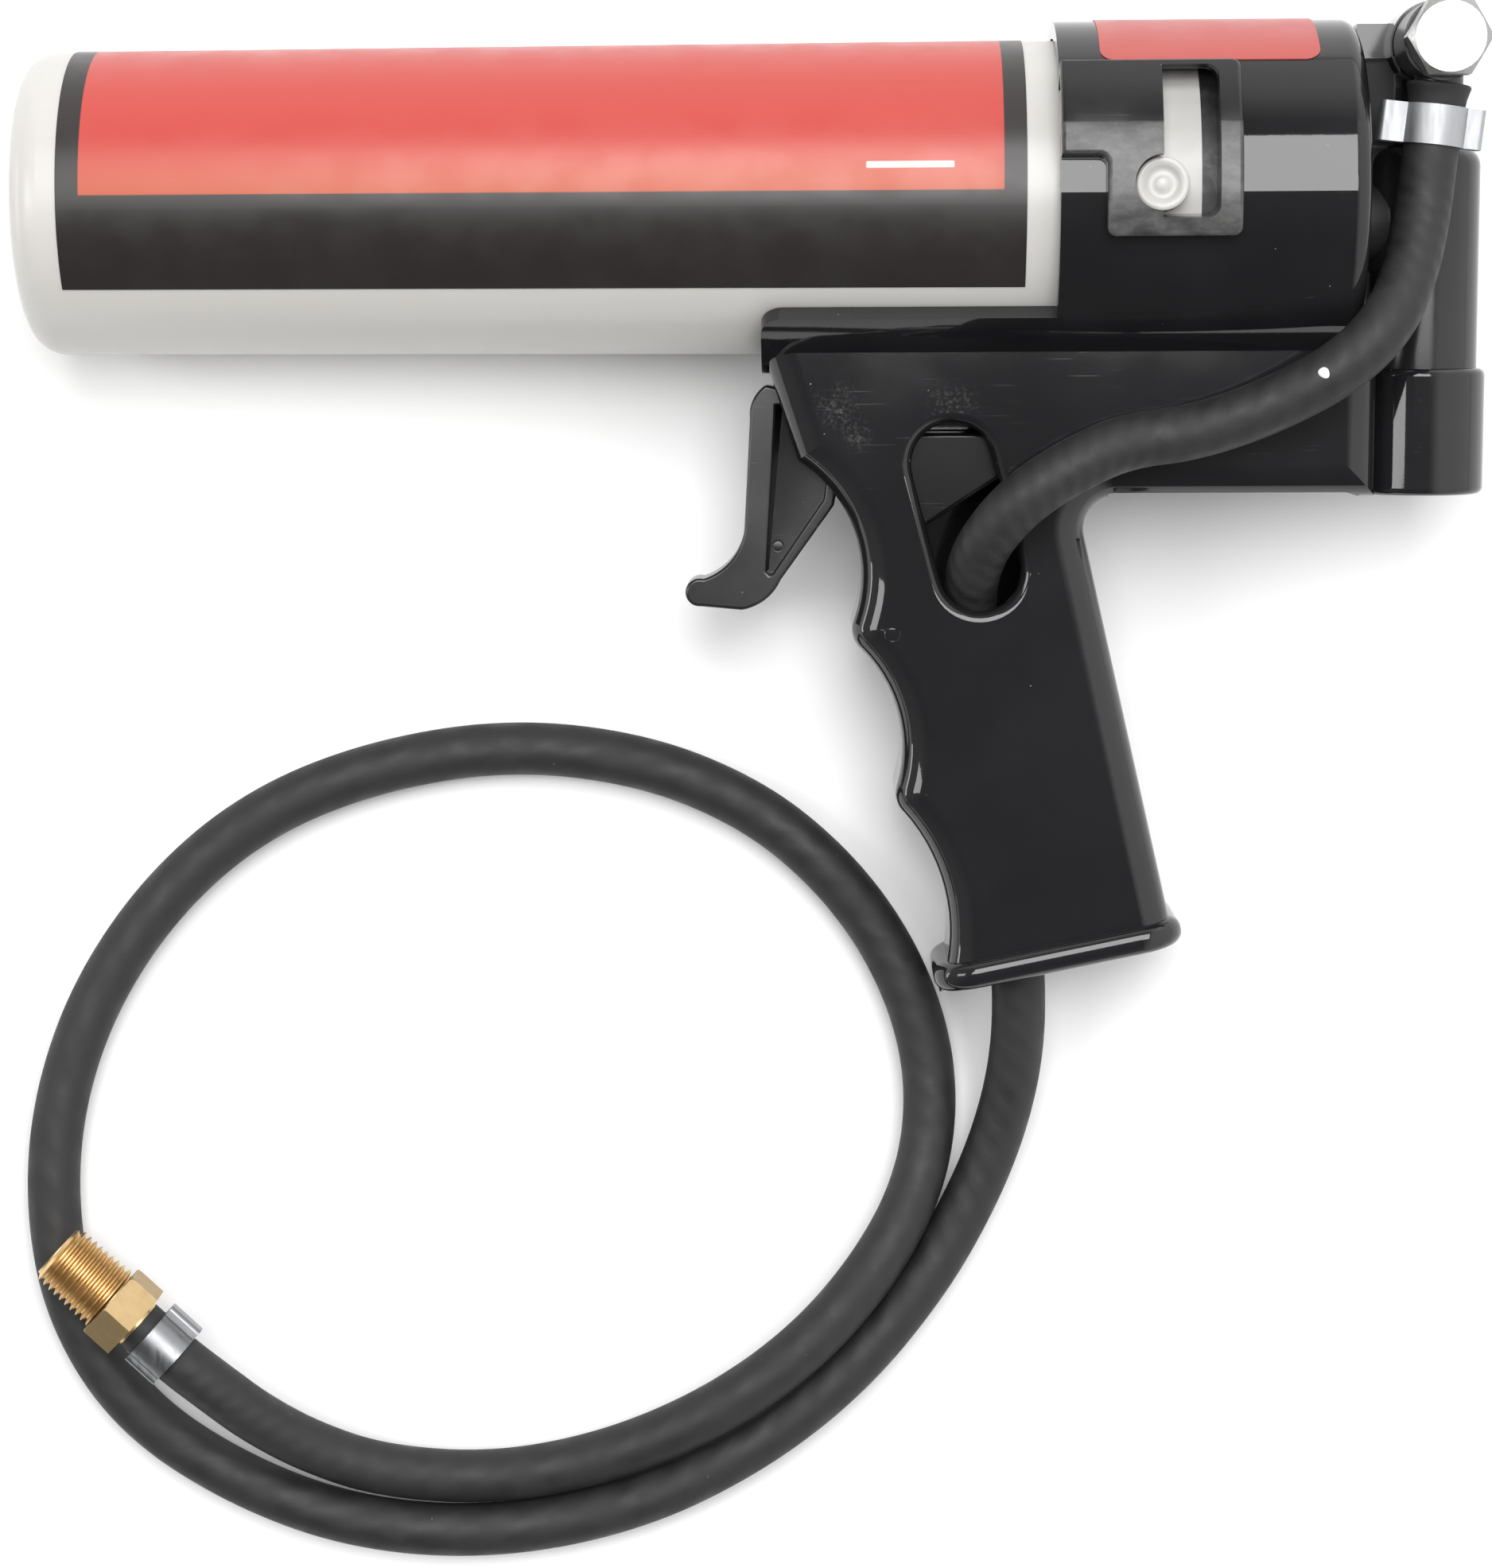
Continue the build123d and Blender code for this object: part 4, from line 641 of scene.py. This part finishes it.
def sharp_edges(bm: BMesh, angle: float) -> list[BMEdge]:
    """Edges between two faces that meet at more than an angle in degrees."""
    return [edge for edge in bm.edges if edge.is_manifold and edge.calc_face_angle() > math.radians(angle)]


def only(kind: type, geom: list[object]) -> list[object]:
    """The vertices, edges or faces among an operator's results."""
    return [part for part in geom if isinstance(part, kind)]


def node_copy(node: str) -> BMesh:
    """A CAD node's mesh in gun millimetres, with its faces joined."""
    bm = bmesh.new()
    bm.from_mesh(frame["nodes"][node].data)
    bmesh.ops.transform(bm, matrix=Matrix.Scale(1 / MM, 4) @ GUN.matrix.inverted(), verts=bm.verts)
    bmesh.ops.remove_doubles(bm, verts=bm.verts, dist=WELD)
    return bm


def frame_at(origin: Vector, way: Vector, across: Vector) -> Matrix:
    """A frame on the table, in metres.

    Args:
        origin: Its origin, in table millimetres.
        way: Its Z axis.
        across: Its X axis.

    Returns:
        The frame.
    """
    up, side = way.normalized(), across.normalized()
    made = Matrix((side, up.cross(side), up)).transposed().to_4x4()
    made.translation = origin * MM
    return made


@dataclass(frozen=True)
class SoftCopy:
    """A CAD node's copy, with its edges rounded as the mould or the tool leaves them."""

    node: str
    name: str
    body: Body
    finish: Finish
    edge_round: float
    segments: int = 3
    sharp: float = 30.0
    shade_sharp: float = 40.0
    clamp: bool = True
    floor: float | None = None
    front: float = -51.5
    span: Span = (-71.1, -39.0)
    lean: float = 1.2
    least_lean: float = 0.35

    def build(self, shop: Workshop) -> Object:
        """Make the copy in place of the node."""
        bm = node_copy(self.node)
        bmesh.ops.recalc_face_normals(bm, faces=bm.faces)
        bmesh.ops.dissolve_limit(bm, angle_limit=math.radians(1.0), verts=bm.verts, edges=bm.edges)
        if self.floor is not None:
            self.lean_wall(bm)
        edges = [edge for edge in sharp_edges(bm, self.sharp) if edge.is_convex]
        soften(bm, edges, self.edge_round, self.segments, self.clamp)
        return shop.piece(self.name, bm, self.body, self.finish, None, self.shade_sharp, self.node)

    def lean_wall(self, bm: BMesh) -> None:
        """Lean the front wall of each pocket back, from the rim down to the floor."""
        for vert in bm.verts:
            if abs(abs(vert.co.z) - self.floor) < 0.05 and vert.co.x < self.front:
                high = (vert.co.y - self.span[0]) / (self.span[1] - self.span[0])
                vert.co.x += self.lean * max(high, self.least_lean)


@dataclass(frozen=True)
class PressedSpring:
    """A coil spring's copy, made in place of the node; the real spring shortens towards its seat as its joint
    moves.
    """

    node: str
    name: str
    joint: str
    away: Point

    def build(self, shop: Workshop) -> Object:
        """Make the copy in place of the node, and work out how much of its length the joint's travel would
        leave.
        """
        bm = node_copy(self.node)
        limits = next(joint["range_m"] for joint in frame["joints"] if joint["name"] == self.joint)
        travel = max(abs(limit) for limit in limits) / MM
        heights = [vert.co.dot(Vector(self.away)) for vert in bm.verts]
        seat = Vector(self.away) * min(heights)
        keep = 1.0 - travel / (max(heights) - min(heights))
        coil = shop.piece(self.name, bm, Body.GUN, WIRE, node=self.node)
        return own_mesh(coil, self.joint, axis=GUN.way(self.away), anchor=GUN.point(seat), keep=keep)


@dataclass
class BayonetPins:
    """The two white pins that lock the barrel in the collar."""

    x: float = 18.3
    lock_angle: float = 2.5
    foot: float = 29.2
    profile: tuple[Span, ...] = (
        (0.0, 33.40), (0.9, 33.38), (1.25, 33.22), (1.6, 33.02), (2.5, 33.0), (2.9, 33.15), (3.25, 33.55),
        (3.6, 33.78), (4.2, 33.88), (4.6, 33.84), (4.82, 33.68), (4.9, 33.4),
    )

    def build(self, shop: Workshop) -> Object:
        """Spin one pin, and put it on both sides."""
        bm = bmesh.new()
        lathe(bm, [*self.profile, (self.profile[-1][0], self.foot), (0.0, self.foot)], 56)
        bmesh.ops.translate(bm, verts=bm.verts, vec=(self.x, 0, 0))
        first = bm.verts[:]
        twin = bmesh.ops.duplicate(bm, geom=bm.verts[:] + bm.edges[:] + bm.faces[:])
        second = only(BMVert, twin["geom"])
        for verts, side in ((first, 0.0), (second, 180.0)):
            turn = Matrix.Rotation(math.radians(side - self.lock_angle), 3, "X")
            bmesh.ops.rotate(bm, cent=(0, 0, 0), matrix=turn, verts=verts)
        return shop.piece("bayonet_pins", bm, Body.BARREL, PIN_WHITE, node="barrel_pins")


@dataclass(frozen=True)
class Ear:
    """One ear of a band clamp: its reach from the hose's middle, half its height and its folds' width."""

    reach: float
    half: float = 1.1
    fold: float = 0.45


@dataclass(frozen=True)
class BandClamp:
    """A two-ear band clamp round the hose, with its folded ears left and right."""

    name: str
    node: str
    setback: float
    ears: tuple[Ear, Ear]
    finish: Finish = ZINC
    width: float = 7.3
    radius: float = HOSE_RADIUS + 0.05
    band: float = 0.7
    rim: float = 0.14

    def build(self, shop: Workshop, origin: Vector, inward: Vector) -> Object:
        """Bend the band and its ears from one strip.

        Args:
            shop: Makes the piece.
            origin: The hose's end, in table millimetres.
            inward: The way from that end along the hose.

        Returns:
            The clamp.
        """
        bm = bmesh.new()
        bmesh.ops.create_circle(bm, cap_ends=False, segments=96, radius=self.radius)
        for side, ear in zip((1.0, -1.0), self.ears):
            gone = [v for v in bm.verts if v.co.x * side > 0 and abs(v.co.y) < ear.half]
            bmesh.ops.delete(bm, geom=gone, context="VERTS")
            ends = [v for v in bm.verts if len(v.link_edges) == 1]
            tips = bmesh.ops.extrude_vert_indiv(bm, verts=ends)["verts"]
            for tip in tips:
                tip.co.x = side * (ear.reach - self.band)
            bm.edges.new(tips)
        strip = bmesh.ops.extrude_edge_only(bm, edges=bm.edges[:])["geom"]
        bmesh.ops.translate(bm, verts=only(BMVert, strip), vec=(0, 0, self.width))
        bmesh.ops.translate(bm, verts=bm.verts, vec=(0, 0, -self.width / 2))
        for side, ear in zip((1.0, -1.0), self.ears):
            folds = [edge for edge in sharp_edges(bm, 35.0) if edge.verts[0].co.x * side > 0]
            soften(bm, folds, ear.fold, 4)
        bmesh.ops.recalc_face_normals(bm, faces=bm.faces)
        if sum(f.normal.dot(Vector((*f.calc_center_median().xy, 0.0))) for f in bm.faces) < 0:
            bmesh.ops.reverse_faces(bm, faces=bm.faces)
        bmesh.ops.solidify(bm, geom=bm.faces[:], thickness=-self.band)
        soften(bm, sharp_edges(bm, 60.0), self.rim, 2)
        place = frame_at(origin + inward * self.setback, inward, UP.cross(inward))
        return shop.piece(self.name, bm, Body.GUN, self.finish, place, node=self.node)


@dataclass
class BrassFitting:
    """The hose's brass end: a hexagon and a taper pipe thread, cut as a real helix and bored at its end."""

    flats: float = 14.3
    hexagon: float = 6.6
    turn: float = 26.0
    shoulder: float = 0.6
    radius: float = 6.85
    tooth: float = 1.05
    pitch: float = 1.411
    teeth: int = 10
    taper: float = 1 / 32
    bore: float = 3.0
    bore_depth: float = 11.0
    bore_lead: float = 0.5
    corner: float = 0.9
    edge: float = 0.25
    steps: int = 72
    sharp: float = 28.0

    def build(self, shop: Workshop, place: Matrix) -> list[Object]:
        """Make the fitting, standing on the hose's end.

        Args:
            shop: Makes the pieces.
            place: Frame of the hose's end, Z outwards.

        Returns:
            The threaded end and the hexagon.
        """
        thread = bmesh.new()
        self.add_thread(thread)
        neck = HOSE_RADIUS - 0.2
        lathe(thread, [(0.0, 0.0), (neck, 0.0), (neck, 1.0), (0.0, 1.0)])
        hexagon = bmesh.new()
        self.add_hexagon(hexagon)
        return [
            shop.piece("threaded_brass_end", thread, Body.GUN, FITTING_BRASS, place, self.sharp,
                       "brass_fitting"),
            shop.piece("brass_hexagon", hexagon, Body.GUN, HEX_BRASS, place, self.sharp),
        ]

    def add_thread(self, bm: BMesh) -> None:
        """Spin the teeth up a helix, cut both ends level, taper them and bore the end."""
        foot = self.shoulder + self.hexagon - 0.4
        top = self.shoulder + self.hexagon + self.teeth * self.pitch
        root = self.radius - self.tooth
        corners = ((root, 0.0), (root, 0.06), (self.radius, 0.44), (self.radius, 0.56), (root, 0.94))
        profile = [(radius, foot + (turn - 1 + share) * self.pitch)
                   for turn in range(self.teeth + 3) for radius, share in corners]
        verts = [bm.verts.new((radius, 0.0, height)) for radius, height in profile]
        edges = [bm.edges.new(pair) for pair in zip(verts, verts[1:])]
        bmesh.ops.spin(bm, geom=[*verts, *edges], cent=(0, 0, 0), axis=(0, 0, 1), angle=2 * math.pi,
                       dvec=(0, 0, self.pitch / self.steps), steps=self.steps)
        bmesh.ops.remove_doubles(bm, verts=bm.verts, dist=1e-3)
        for height, way in ((foot, -1), (top, 1)):
            bmesh.ops.bisect_plane(bm, geom=bm.verts[:] + bm.edges[:] + bm.faces[:], plane_co=(0, 0, height),
                                   plane_no=(0, 0, way), clear_outer=True)
        for vert in bm.verts:
            reach = vert.co.xy.length
            wanted = min(reach, root + 0.9 * (top - vert.co.z)) - (vert.co.z - foot) * self.taper
            vert.co.xy *= wanted / reach
        rim = [e for e in bm.edges if e.is_boundary and min(v.co.z for v in e.verts) > top - 1e-3]
        lead = self.bore_lead
        for radius, drop in ((self.bore + lead, 0.0), (self.bore, lead), (self.bore, self.bore_depth)):
            wall = bmesh.ops.extrude_edge_only(bm, edges=rim)["geom"]
            rim = [edge for edge in only(BMEdge, wall) if edge.is_boundary]
            for vert in {v for e in rim for v in e.verts}:
                vert.co.xy *= radius / vert.co.xy.length
                vert.co.z = top - drop
        bmesh.ops.holes_fill(bm, edges=[e for e in bm.edges if e.is_boundary], sides=0)

    def add_hexagon(self, bm: BMesh) -> None:
        """Extrude the hexagon, with its corners turned down on the thread's side."""
        point = self.flats / math.sqrt(3)
        base = bmesh.ops.create_circle(bm, cap_ends=True, segments=6, radius=point)["verts"]
        # The circle's corners start 30 degrees off X
        turn = Matrix.Rotation(math.radians(self.turn - 30.0), 3, "Z")
        bmesh.ops.rotate(bm, cent=(0, 0, 0), matrix=turn, verts=base)
        bmesh.ops.translate(bm, verts=base, vec=(0, 0, self.shoulder))
        face = next(f for f in base[0].link_faces if len(f.verts) == 6)
        raised = bmesh.ops.extrude_face_region(bm, geom=[face], use_keep_orig=True)["geom"]
        crown = only(BMVert, raised)
        bmesh.ops.translate(bm, verts=crown, vec=(0, 0, self.hexagon))
        bmesh.ops.bevel(bm, geom=crown, affect="VERTICES", offset=self.corner, segments=2, profile=0.5,
                        material=-1)
        ring = [edge for edge in sharp_edges(bm, 25.0)
                if max(vert.co.xy.length for vert in edge.verts) > self.flats / 2
                and all(len(face.verts) in (4, 6, 12, 18) for face in edge.link_faces)]
        soften(bm, ring, self.edge, 2)


@dataclass
class MouldMarks:
    """Ejector rings that the mould left on the trigger and the grip."""

    trigger_ring: Point = (-51.7, -65.9, 2.0)
    trigger_radius: float = 1.25
    grip_ring: Point = (-30.0, -81.8, 16.0)
    grip_radius: float = 1.5
    rim: float = 0.32
    sunk: float = 0.25

    def build(self, shop: Workshop) -> None:
        """Make the rings."""
        self.add_ring(shop, "trigger_ejector_ring", self.trigger_ring, self.trigger_radius, Body.TRIGGER,
                      TRIGGER_SATIN)
        self.add_ring(shop, "grip_ejector_ring", self.grip_ring, self.grip_radius, Body.GUN, BODY_GLOSS)

    def add_ring(self, shop: Workshop, name: str, place: Point, radius: float, body: Body,
                 finish: Finish) -> None:
        """A thin raised ring round a slightly crowned disc.

        Args:
            shop: Makes the piece.
            name: Its name.
            place: Its middle, on the moulding's face.
            radius: Its outer radius.
            body: What it rides on.
            finish: Its finish.
        """
        bm = bmesh.new()
        inner = radius - self.rim
        disc = [(0.0, 0.05), (inner * 0.6, 0.045), (inner, 0.01)]
        ring = [(inner + 0.06, 0.11), (radius - 0.1, 0.12), (radius, 0.02), (radius, -self.sunk)]
        lathe(bm, [*disc, *ring, (0.0, -self.sunk)], 32)
        bmesh.ops.translate(bm, verts=bm.verts, vec=place)
        shop.piece(name, bm, body, finish)


@dataclass
class AirHose:
    """The rubber hose on its route over the gun, through the grip and round the table."""

    route: list[Point] = field(default_factory=lambda: [
        (125.9, 75.0, 57.7), (124.4, 61.5, 56.0), (123.2, 51.4, 56.0), (120.7, 41.4, 58.7),
        (116.3, 31.3, 62.1), (108.3, 22.9, 61.5), (96.0, 16.2, 58.0), (81.5, 11.2, 55.0),
        (68.8, 9.8, 53.8), (59.6, 5.7, 53.0), (51.0, 0.3, 52.1), (45.2, -5.4, 48.4),
        (41.7, -11.3, 42.5), (41.1, -17.2, 34.4), (41.9, -25.6, 27.4), (43.9, -37.7, 23.1),
        (46.5, -51.3, 20.1), (48.8, -65.3, 19.2), (50.8, -79.4, 18.6), (52.4, -93.4, 17.0),
        (52.2, -108.0, 12.8), (49.2, -122.5, 8.2), (43.4, -137.0, 5.8), (34.4, -152.6, 5.5),
        (19.8, -170.4, 5.5), (1.0, -185.2, 5.5), (-22.3, -196.7, 5.5), (-50.0, -202.3, 5.5),
        (-77.5, -200.6, 5.5), (-101.4, -191.9, 5.5), (-122.0, -178.3, 5.5), (-134.2, -159.5, 5.5),
        (-138.4, -138.9, 5.5), (-137.2, -117.4, 5.5), (-129.9, -95.6, 5.5), (-116.2, -75.4, 5.5),
        (-98.0, -59.9, 5.5), (-75.1, -50.4, 5.5), (-48.0, -45.9, 5.5), (-21.6, -48.8, 5.5),
        (-0.1, -57.4, 5.5), (15.5, -69.8, 5.5), (27.1, -84.8, 5.5), (34.5, -102.3, 5.5),
        (36.2, -119.3, 5.5), (32.7, -135.3, 7.4), (23.5, -151.0, 9.8), (10.2, -165.6, 11.0),
        (-7.6, -178.0, 10.4), (-28.4, -187.1, 7.6), (-50.8, -191.5, 6.0), (-72.6, -190.0, 6.2),
        (-87.0, -184.7, 8.6), (-97.4, -178.1, 13.0), (-104.5, -172.1, 16.0), (-112.2, -165.9, 18.0),
        (-119.5, -159.2, 18.4),
    ])
    length: float = 0.977
    dab: Span = (103.3, 21.1)
    dab_half: Point = (0.95, 1.15, 0.28)
    dab_lobe: float = 0.07
    flare: float = 0.75

    def build(self, shop: Workshop) -> Object:
        """Make the hose as one smooth curve.

        Args:
            shop: Where its finish comes from.

        Returns:
            The curve's object.
        """
        curve = bpy.data.curves.new("rubber_hose", "CURVE")
        curve.dimensions = "3D"
        curve.bevel_depth = HOSE_RADIUS * MM
        curve.bevel_resolution = 8
        curve.resolution_u = 10
        curve.use_fill_caps = True
        spline = curve.splines.new("NURBS")
        spline.points.add(len(self.route) - 1)
        for point, place in zip(spline.points, self.route):
            point.co = (*(Vector(place) * MM), 1.0)
        spline.order_u = 3
        spline.use_endpoint_u = True
        spline.use_smooth = True
        curve.materials.append(shop.material(HOSE_BLACK))
        hose = bpy.data.objects.new("rubber_hose", curve)
        bpy.context.scene.collection.objects.link(hose)
        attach(hose, Body.GUN.value)
        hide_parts("air_hose")
        log.info("made rubber_hose with %d points", len(self.route))
        return hose

    def ends(self) -> tuple[tuple[Vector, Vector], tuple[Vector, Vector]]:
        """Place and outward way of the hose's two ends, in table millimetres."""
        points = [Vector(point) for point in self.route]
        start = (points[0], (points[0] - points[1]).normalized())
        return start, (points[-1], (points[-1] - points[-2]).normalized())

    def add_mouth(self, shop: Workshop) -> Object:
        """The flared end that was pushed over the swivel's barb."""
        origin, outward = self.ends()[0]
        bm = bmesh.new()
        wide, slim = HOSE_RADIUS + self.flare, HOSE_RADIUS - 0.3
        slope = [(slim, -5.0), (HOSE_RADIUS + 0.08, -3.6), (HOSE_RADIUS + 0.22, -2.2), (wide - 0.15, -0.7)]
        lip = [(wide, -0.2), (wide - 0.12, 0.2), (wide - 0.5, 0.35), (HOSE_BORE, 0.3)]
        lathe(bm, [(HOSE_BORE, -5.0), *slope, *lip], 56)
        place = frame_at(origin, outward, UP.cross(outward))
        return shop.piece("hose_mouth", bm, Body.GUN, HOSE_BLACK, place)

    def add_dab(self, shop: Workshop, hose: Object) -> Object:
        """A dab of white paint on top of the hose."""
        tree = BVHTree.FromObject(hose, bpy.context.evaluated_depsgraph_get())
        spot, normal, _, _ = tree.ray_cast(Vector((*self.dab, 100.0)) * MM, -UP)
        bm = bmesh.new()
        bmesh.ops.create_icosphere(bm, subdivisions=3, radius=1.0)
        long, wide, high = self.dab_half
        for vert in bm.verts:
            lobe = 1.0 + self.dab_lobe * math.sin(3.0 * math.atan2(vert.co.y, vert.co.x) + 0.6)
            vert.co = (vert.co.x * long * lobe, vert.co.y * wide * lobe, vert.co.z * high)
        place = frame_at(spot / MM, normal, normal.orthogonal())
        return shop.piece("paint_dab", bm, Body.GUN, PAINT_WHITE, place)


@dataclass(frozen=True)
class Lamp:
    """A rectangular soft light: middle and aim in millimetres, sides in metres, power in watts."""

    name: str
    place: Point
    size: Span
    power: float
    aim: Point = (0.0, 0.0, 0.0)

    def add(self) -> None:
        """Hang the light, out of the camera's sight."""
        data = bpy.data.lights.new(self.name, "AREA")
        data.shape = "RECTANGLE"
        data.size, data.size_y = self.size
        data.energy = self.power
        lamp = bpy.data.objects.new(self.name, data)
        lamp.location = Vector(self.place) * MM
        way = Vector(self.aim) - Vector(self.place)
        lamp.rotation_euler = way.to_track_quat("-Z", "Y").to_euler()
        lamp.visible_camera = False
        bpy.context.scene.collection.objects.link(lamp)


@dataclass(frozen=True)
class Wall:
    """Light from one side of the room: an axis, the span of its direction and the levels at both ends."""

    axis: str
    span: Span
    levels: Span


@dataclass
class Studio:
    """Pale table, soft light from above and the camera straight over the gun."""

    camera_place: Point = (-18.96, -55.38, 756.71)
    lens: float = 86.96
    shift: Span = (0.0586, 0.0050)
    table_size: float = 8.0
    table_drop: float = 0.2
    table_tone: float = 0.86
    table_roughness: float = 0.9
    table_shine: float = 0.1
    table_lift: float = 0.06
    lamps: tuple[Lamp, ...] = (
        Lamp("top_softbox", (50.0, 430.0, 1660.0), (1.0, 1.18), 28.0, (50.0, 430.0, 0.0)),
        Lamp("left_strip", (-1100.0, 0.0, 1220.0), (0.5, 0.7), 6.6),
        Lamp("low_strip", (-1600.0, 100.0, 100.0), (0.8, 0.15), 2.6),
    )
    walls: tuple[Wall, ...] = (
        Wall("Y", (-0.7, 0.2), (0.10, 0.22)),
        Wall("X", (0.12, 0.5), (0.0, 1.0)),
        Wall("Y", (0.62, 0.97), (0.0, 0.9)),
        Wall("X", (-0.3, -0.9), (0.0, 0.2)),
    )

    def build(self) -> None:
        """Set up everything round the gun."""
        bpy.context.scene.view_settings.view_transform = "Standard"
        self.add_camera()
        self.add_table()
        for lamp in self.lamps:
            lamp.add()
        self.add_room()

    def add_camera(self) -> None:
        """Look straight down, as the photograph does."""
        data = bpy.data.cameras.new("camera")
        data.lens = self.lens
        data.shift_x, data.shift_y = self.shift
        data.clip_start = 0.01
        camera = bpy.data.objects.new("camera", data)
        camera.location = Vector(self.camera_place) * MM
        bpy.context.scene.collection.objects.link(camera)
        bpy.context.scene.camera = camera

    def add_table(self) -> None:
        """A plain white table that keeps the gun's shadow."""
        bm = bmesh.new()
        bmesh.ops.create_grid(bm, x_segments=1, y_segments=1, size=self.table_size / 2)
        bmesh.ops.translate(bm, verts=bm.verts, vec=(0, 0, -self.table_drop * MM))
        mesh = bpy.data.meshes.new("table")
        bm.to_mesh(mesh)
        bm.free()
        shade = Shade("white_table")
        seen = shade.node("LightPath").outputs
        lifted = shade.math("MAXIMUM", seen["Is Camera Ray"], seen["Is Glossy Ray"])
        shade.set(base_color=(*(self.table_tone,) * 3, 1.0), roughness=self.table_roughness,
                  specular_ior_level=self.table_shine, emission_color=(1.0,) * 4,
                  emission_strength=shade.times(lifted, self.table_lift))
        mesh.materials.append(shade.material)
        table = bpy.data.objects.new("table", mesh)
        bpy.context.scene.collection.objects.link(table)

    def add_room(self) -> None:
        """A dim room with paler walls on some sides, and white where the camera sees past the table."""
        world = bpy.data.worlds.new("room")
        world.use_nodes = True
        nodes, links = world.node_tree.nodes, world.node_tree.links
        parts = nodes.new("ShaderNodeSeparateXYZ")
        links.new(nodes.new("ShaderNodeTexCoord").outputs["Generated"], parts.inputs[0])
        total: NodeSocket | None = None
        for wall in self.walls:
            ease = nodes.new("ShaderNodeMapRange")
            ease.interpolation_type = "SMOOTHSTEP"
            links.new(parts.outputs[wall.axis], ease.inputs["Value"])
            for name, value in zip(("From Min", "From Max", "To Min", "To Max"), (*wall.span, *wall.levels)):
                ease.inputs[name].default_value = value
            if total is None:
                total = ease.outputs[0]
            else:
                both = nodes.new("ShaderNodeMath")
                links.new(total, both.inputs[0])
                links.new(ease.outputs[0], both.inputs[1])
                total = both.outputs[0]
        white = nodes.new("ShaderNodeMix")
        white.inputs[3].default_value = 1.0
        links.new(nodes.new("ShaderNodeLightPath").outputs["Is Camera Ray"], white.inputs[0])
        links.new(total, white.inputs[2])
        links.new(white.outputs[0], nodes["Background"].inputs["Strength"])
        nodes["Background"].inputs["Color"].default_value = (1.0, 1.0, 1.0, 1.0)
        bpy.context.scene.world = world


TOP_CLAMP = BandClamp("top_band_clamp", "hose_clamp_top", 7.4, (Ear(9.05), Ear(10.3)))
END_CLAMP = BandClamp("end_band_clamp", "hose_clamp_end", 6.2, (Ear(7.6, 1.6, 0.9), Ear(6.25, 2.8, 0.3)),
                      finish=DARKER_ZINC)
COPIES: tuple[SoftCopy | PressedSpring, ...] = (
    SoftCopy("trigger", "soft_trigger", Body.TRIGGER, TRIGGER_SATIN, 0.6, clamp=False, floor=2.0),
    SoftCopy("banjo_bolt", "soft_banjo_bolt", Body.GUN, NICKEL, 0.2, shade_sharp=12.0),
    PressedSpring("lock_spring", "pressed_lock_spring", "barrel_push", (-1.0, 0.0, 0.0)),
    PressedSpring("valve_spring", "pressed_valve_spring", "spool_slide", (0.0, 1.0, 0.0)),
)


def main() -> None:
    """Build the gun's looks and the studio round it."""
    logging.basicConfig(level=logging.INFO)
    shop = Workshop()
    Studio().build()
    hose = AirHose()
    tube = hose.build(shop)
    shop.dress_nodes()
    (start, start_way), (end, end_way) = hose.ends()
    on_hose = [
        hose.add_mouth(shop),
        hose.add_dab(shop, tube),
        TOP_CLAMP.build(shop, start, -start_way),
        END_CLAMP.build(shop, end, -end_way),
        *BrassFitting().build(shop, frame_at(end, end_way, UP.cross(end_way))),
    ]
    for copy in COPIES:
        copy.build(shop)
    BayonetPins().build(shop)
    MouldMarks().build(shop)


if __name__ == "__main__":
    main()
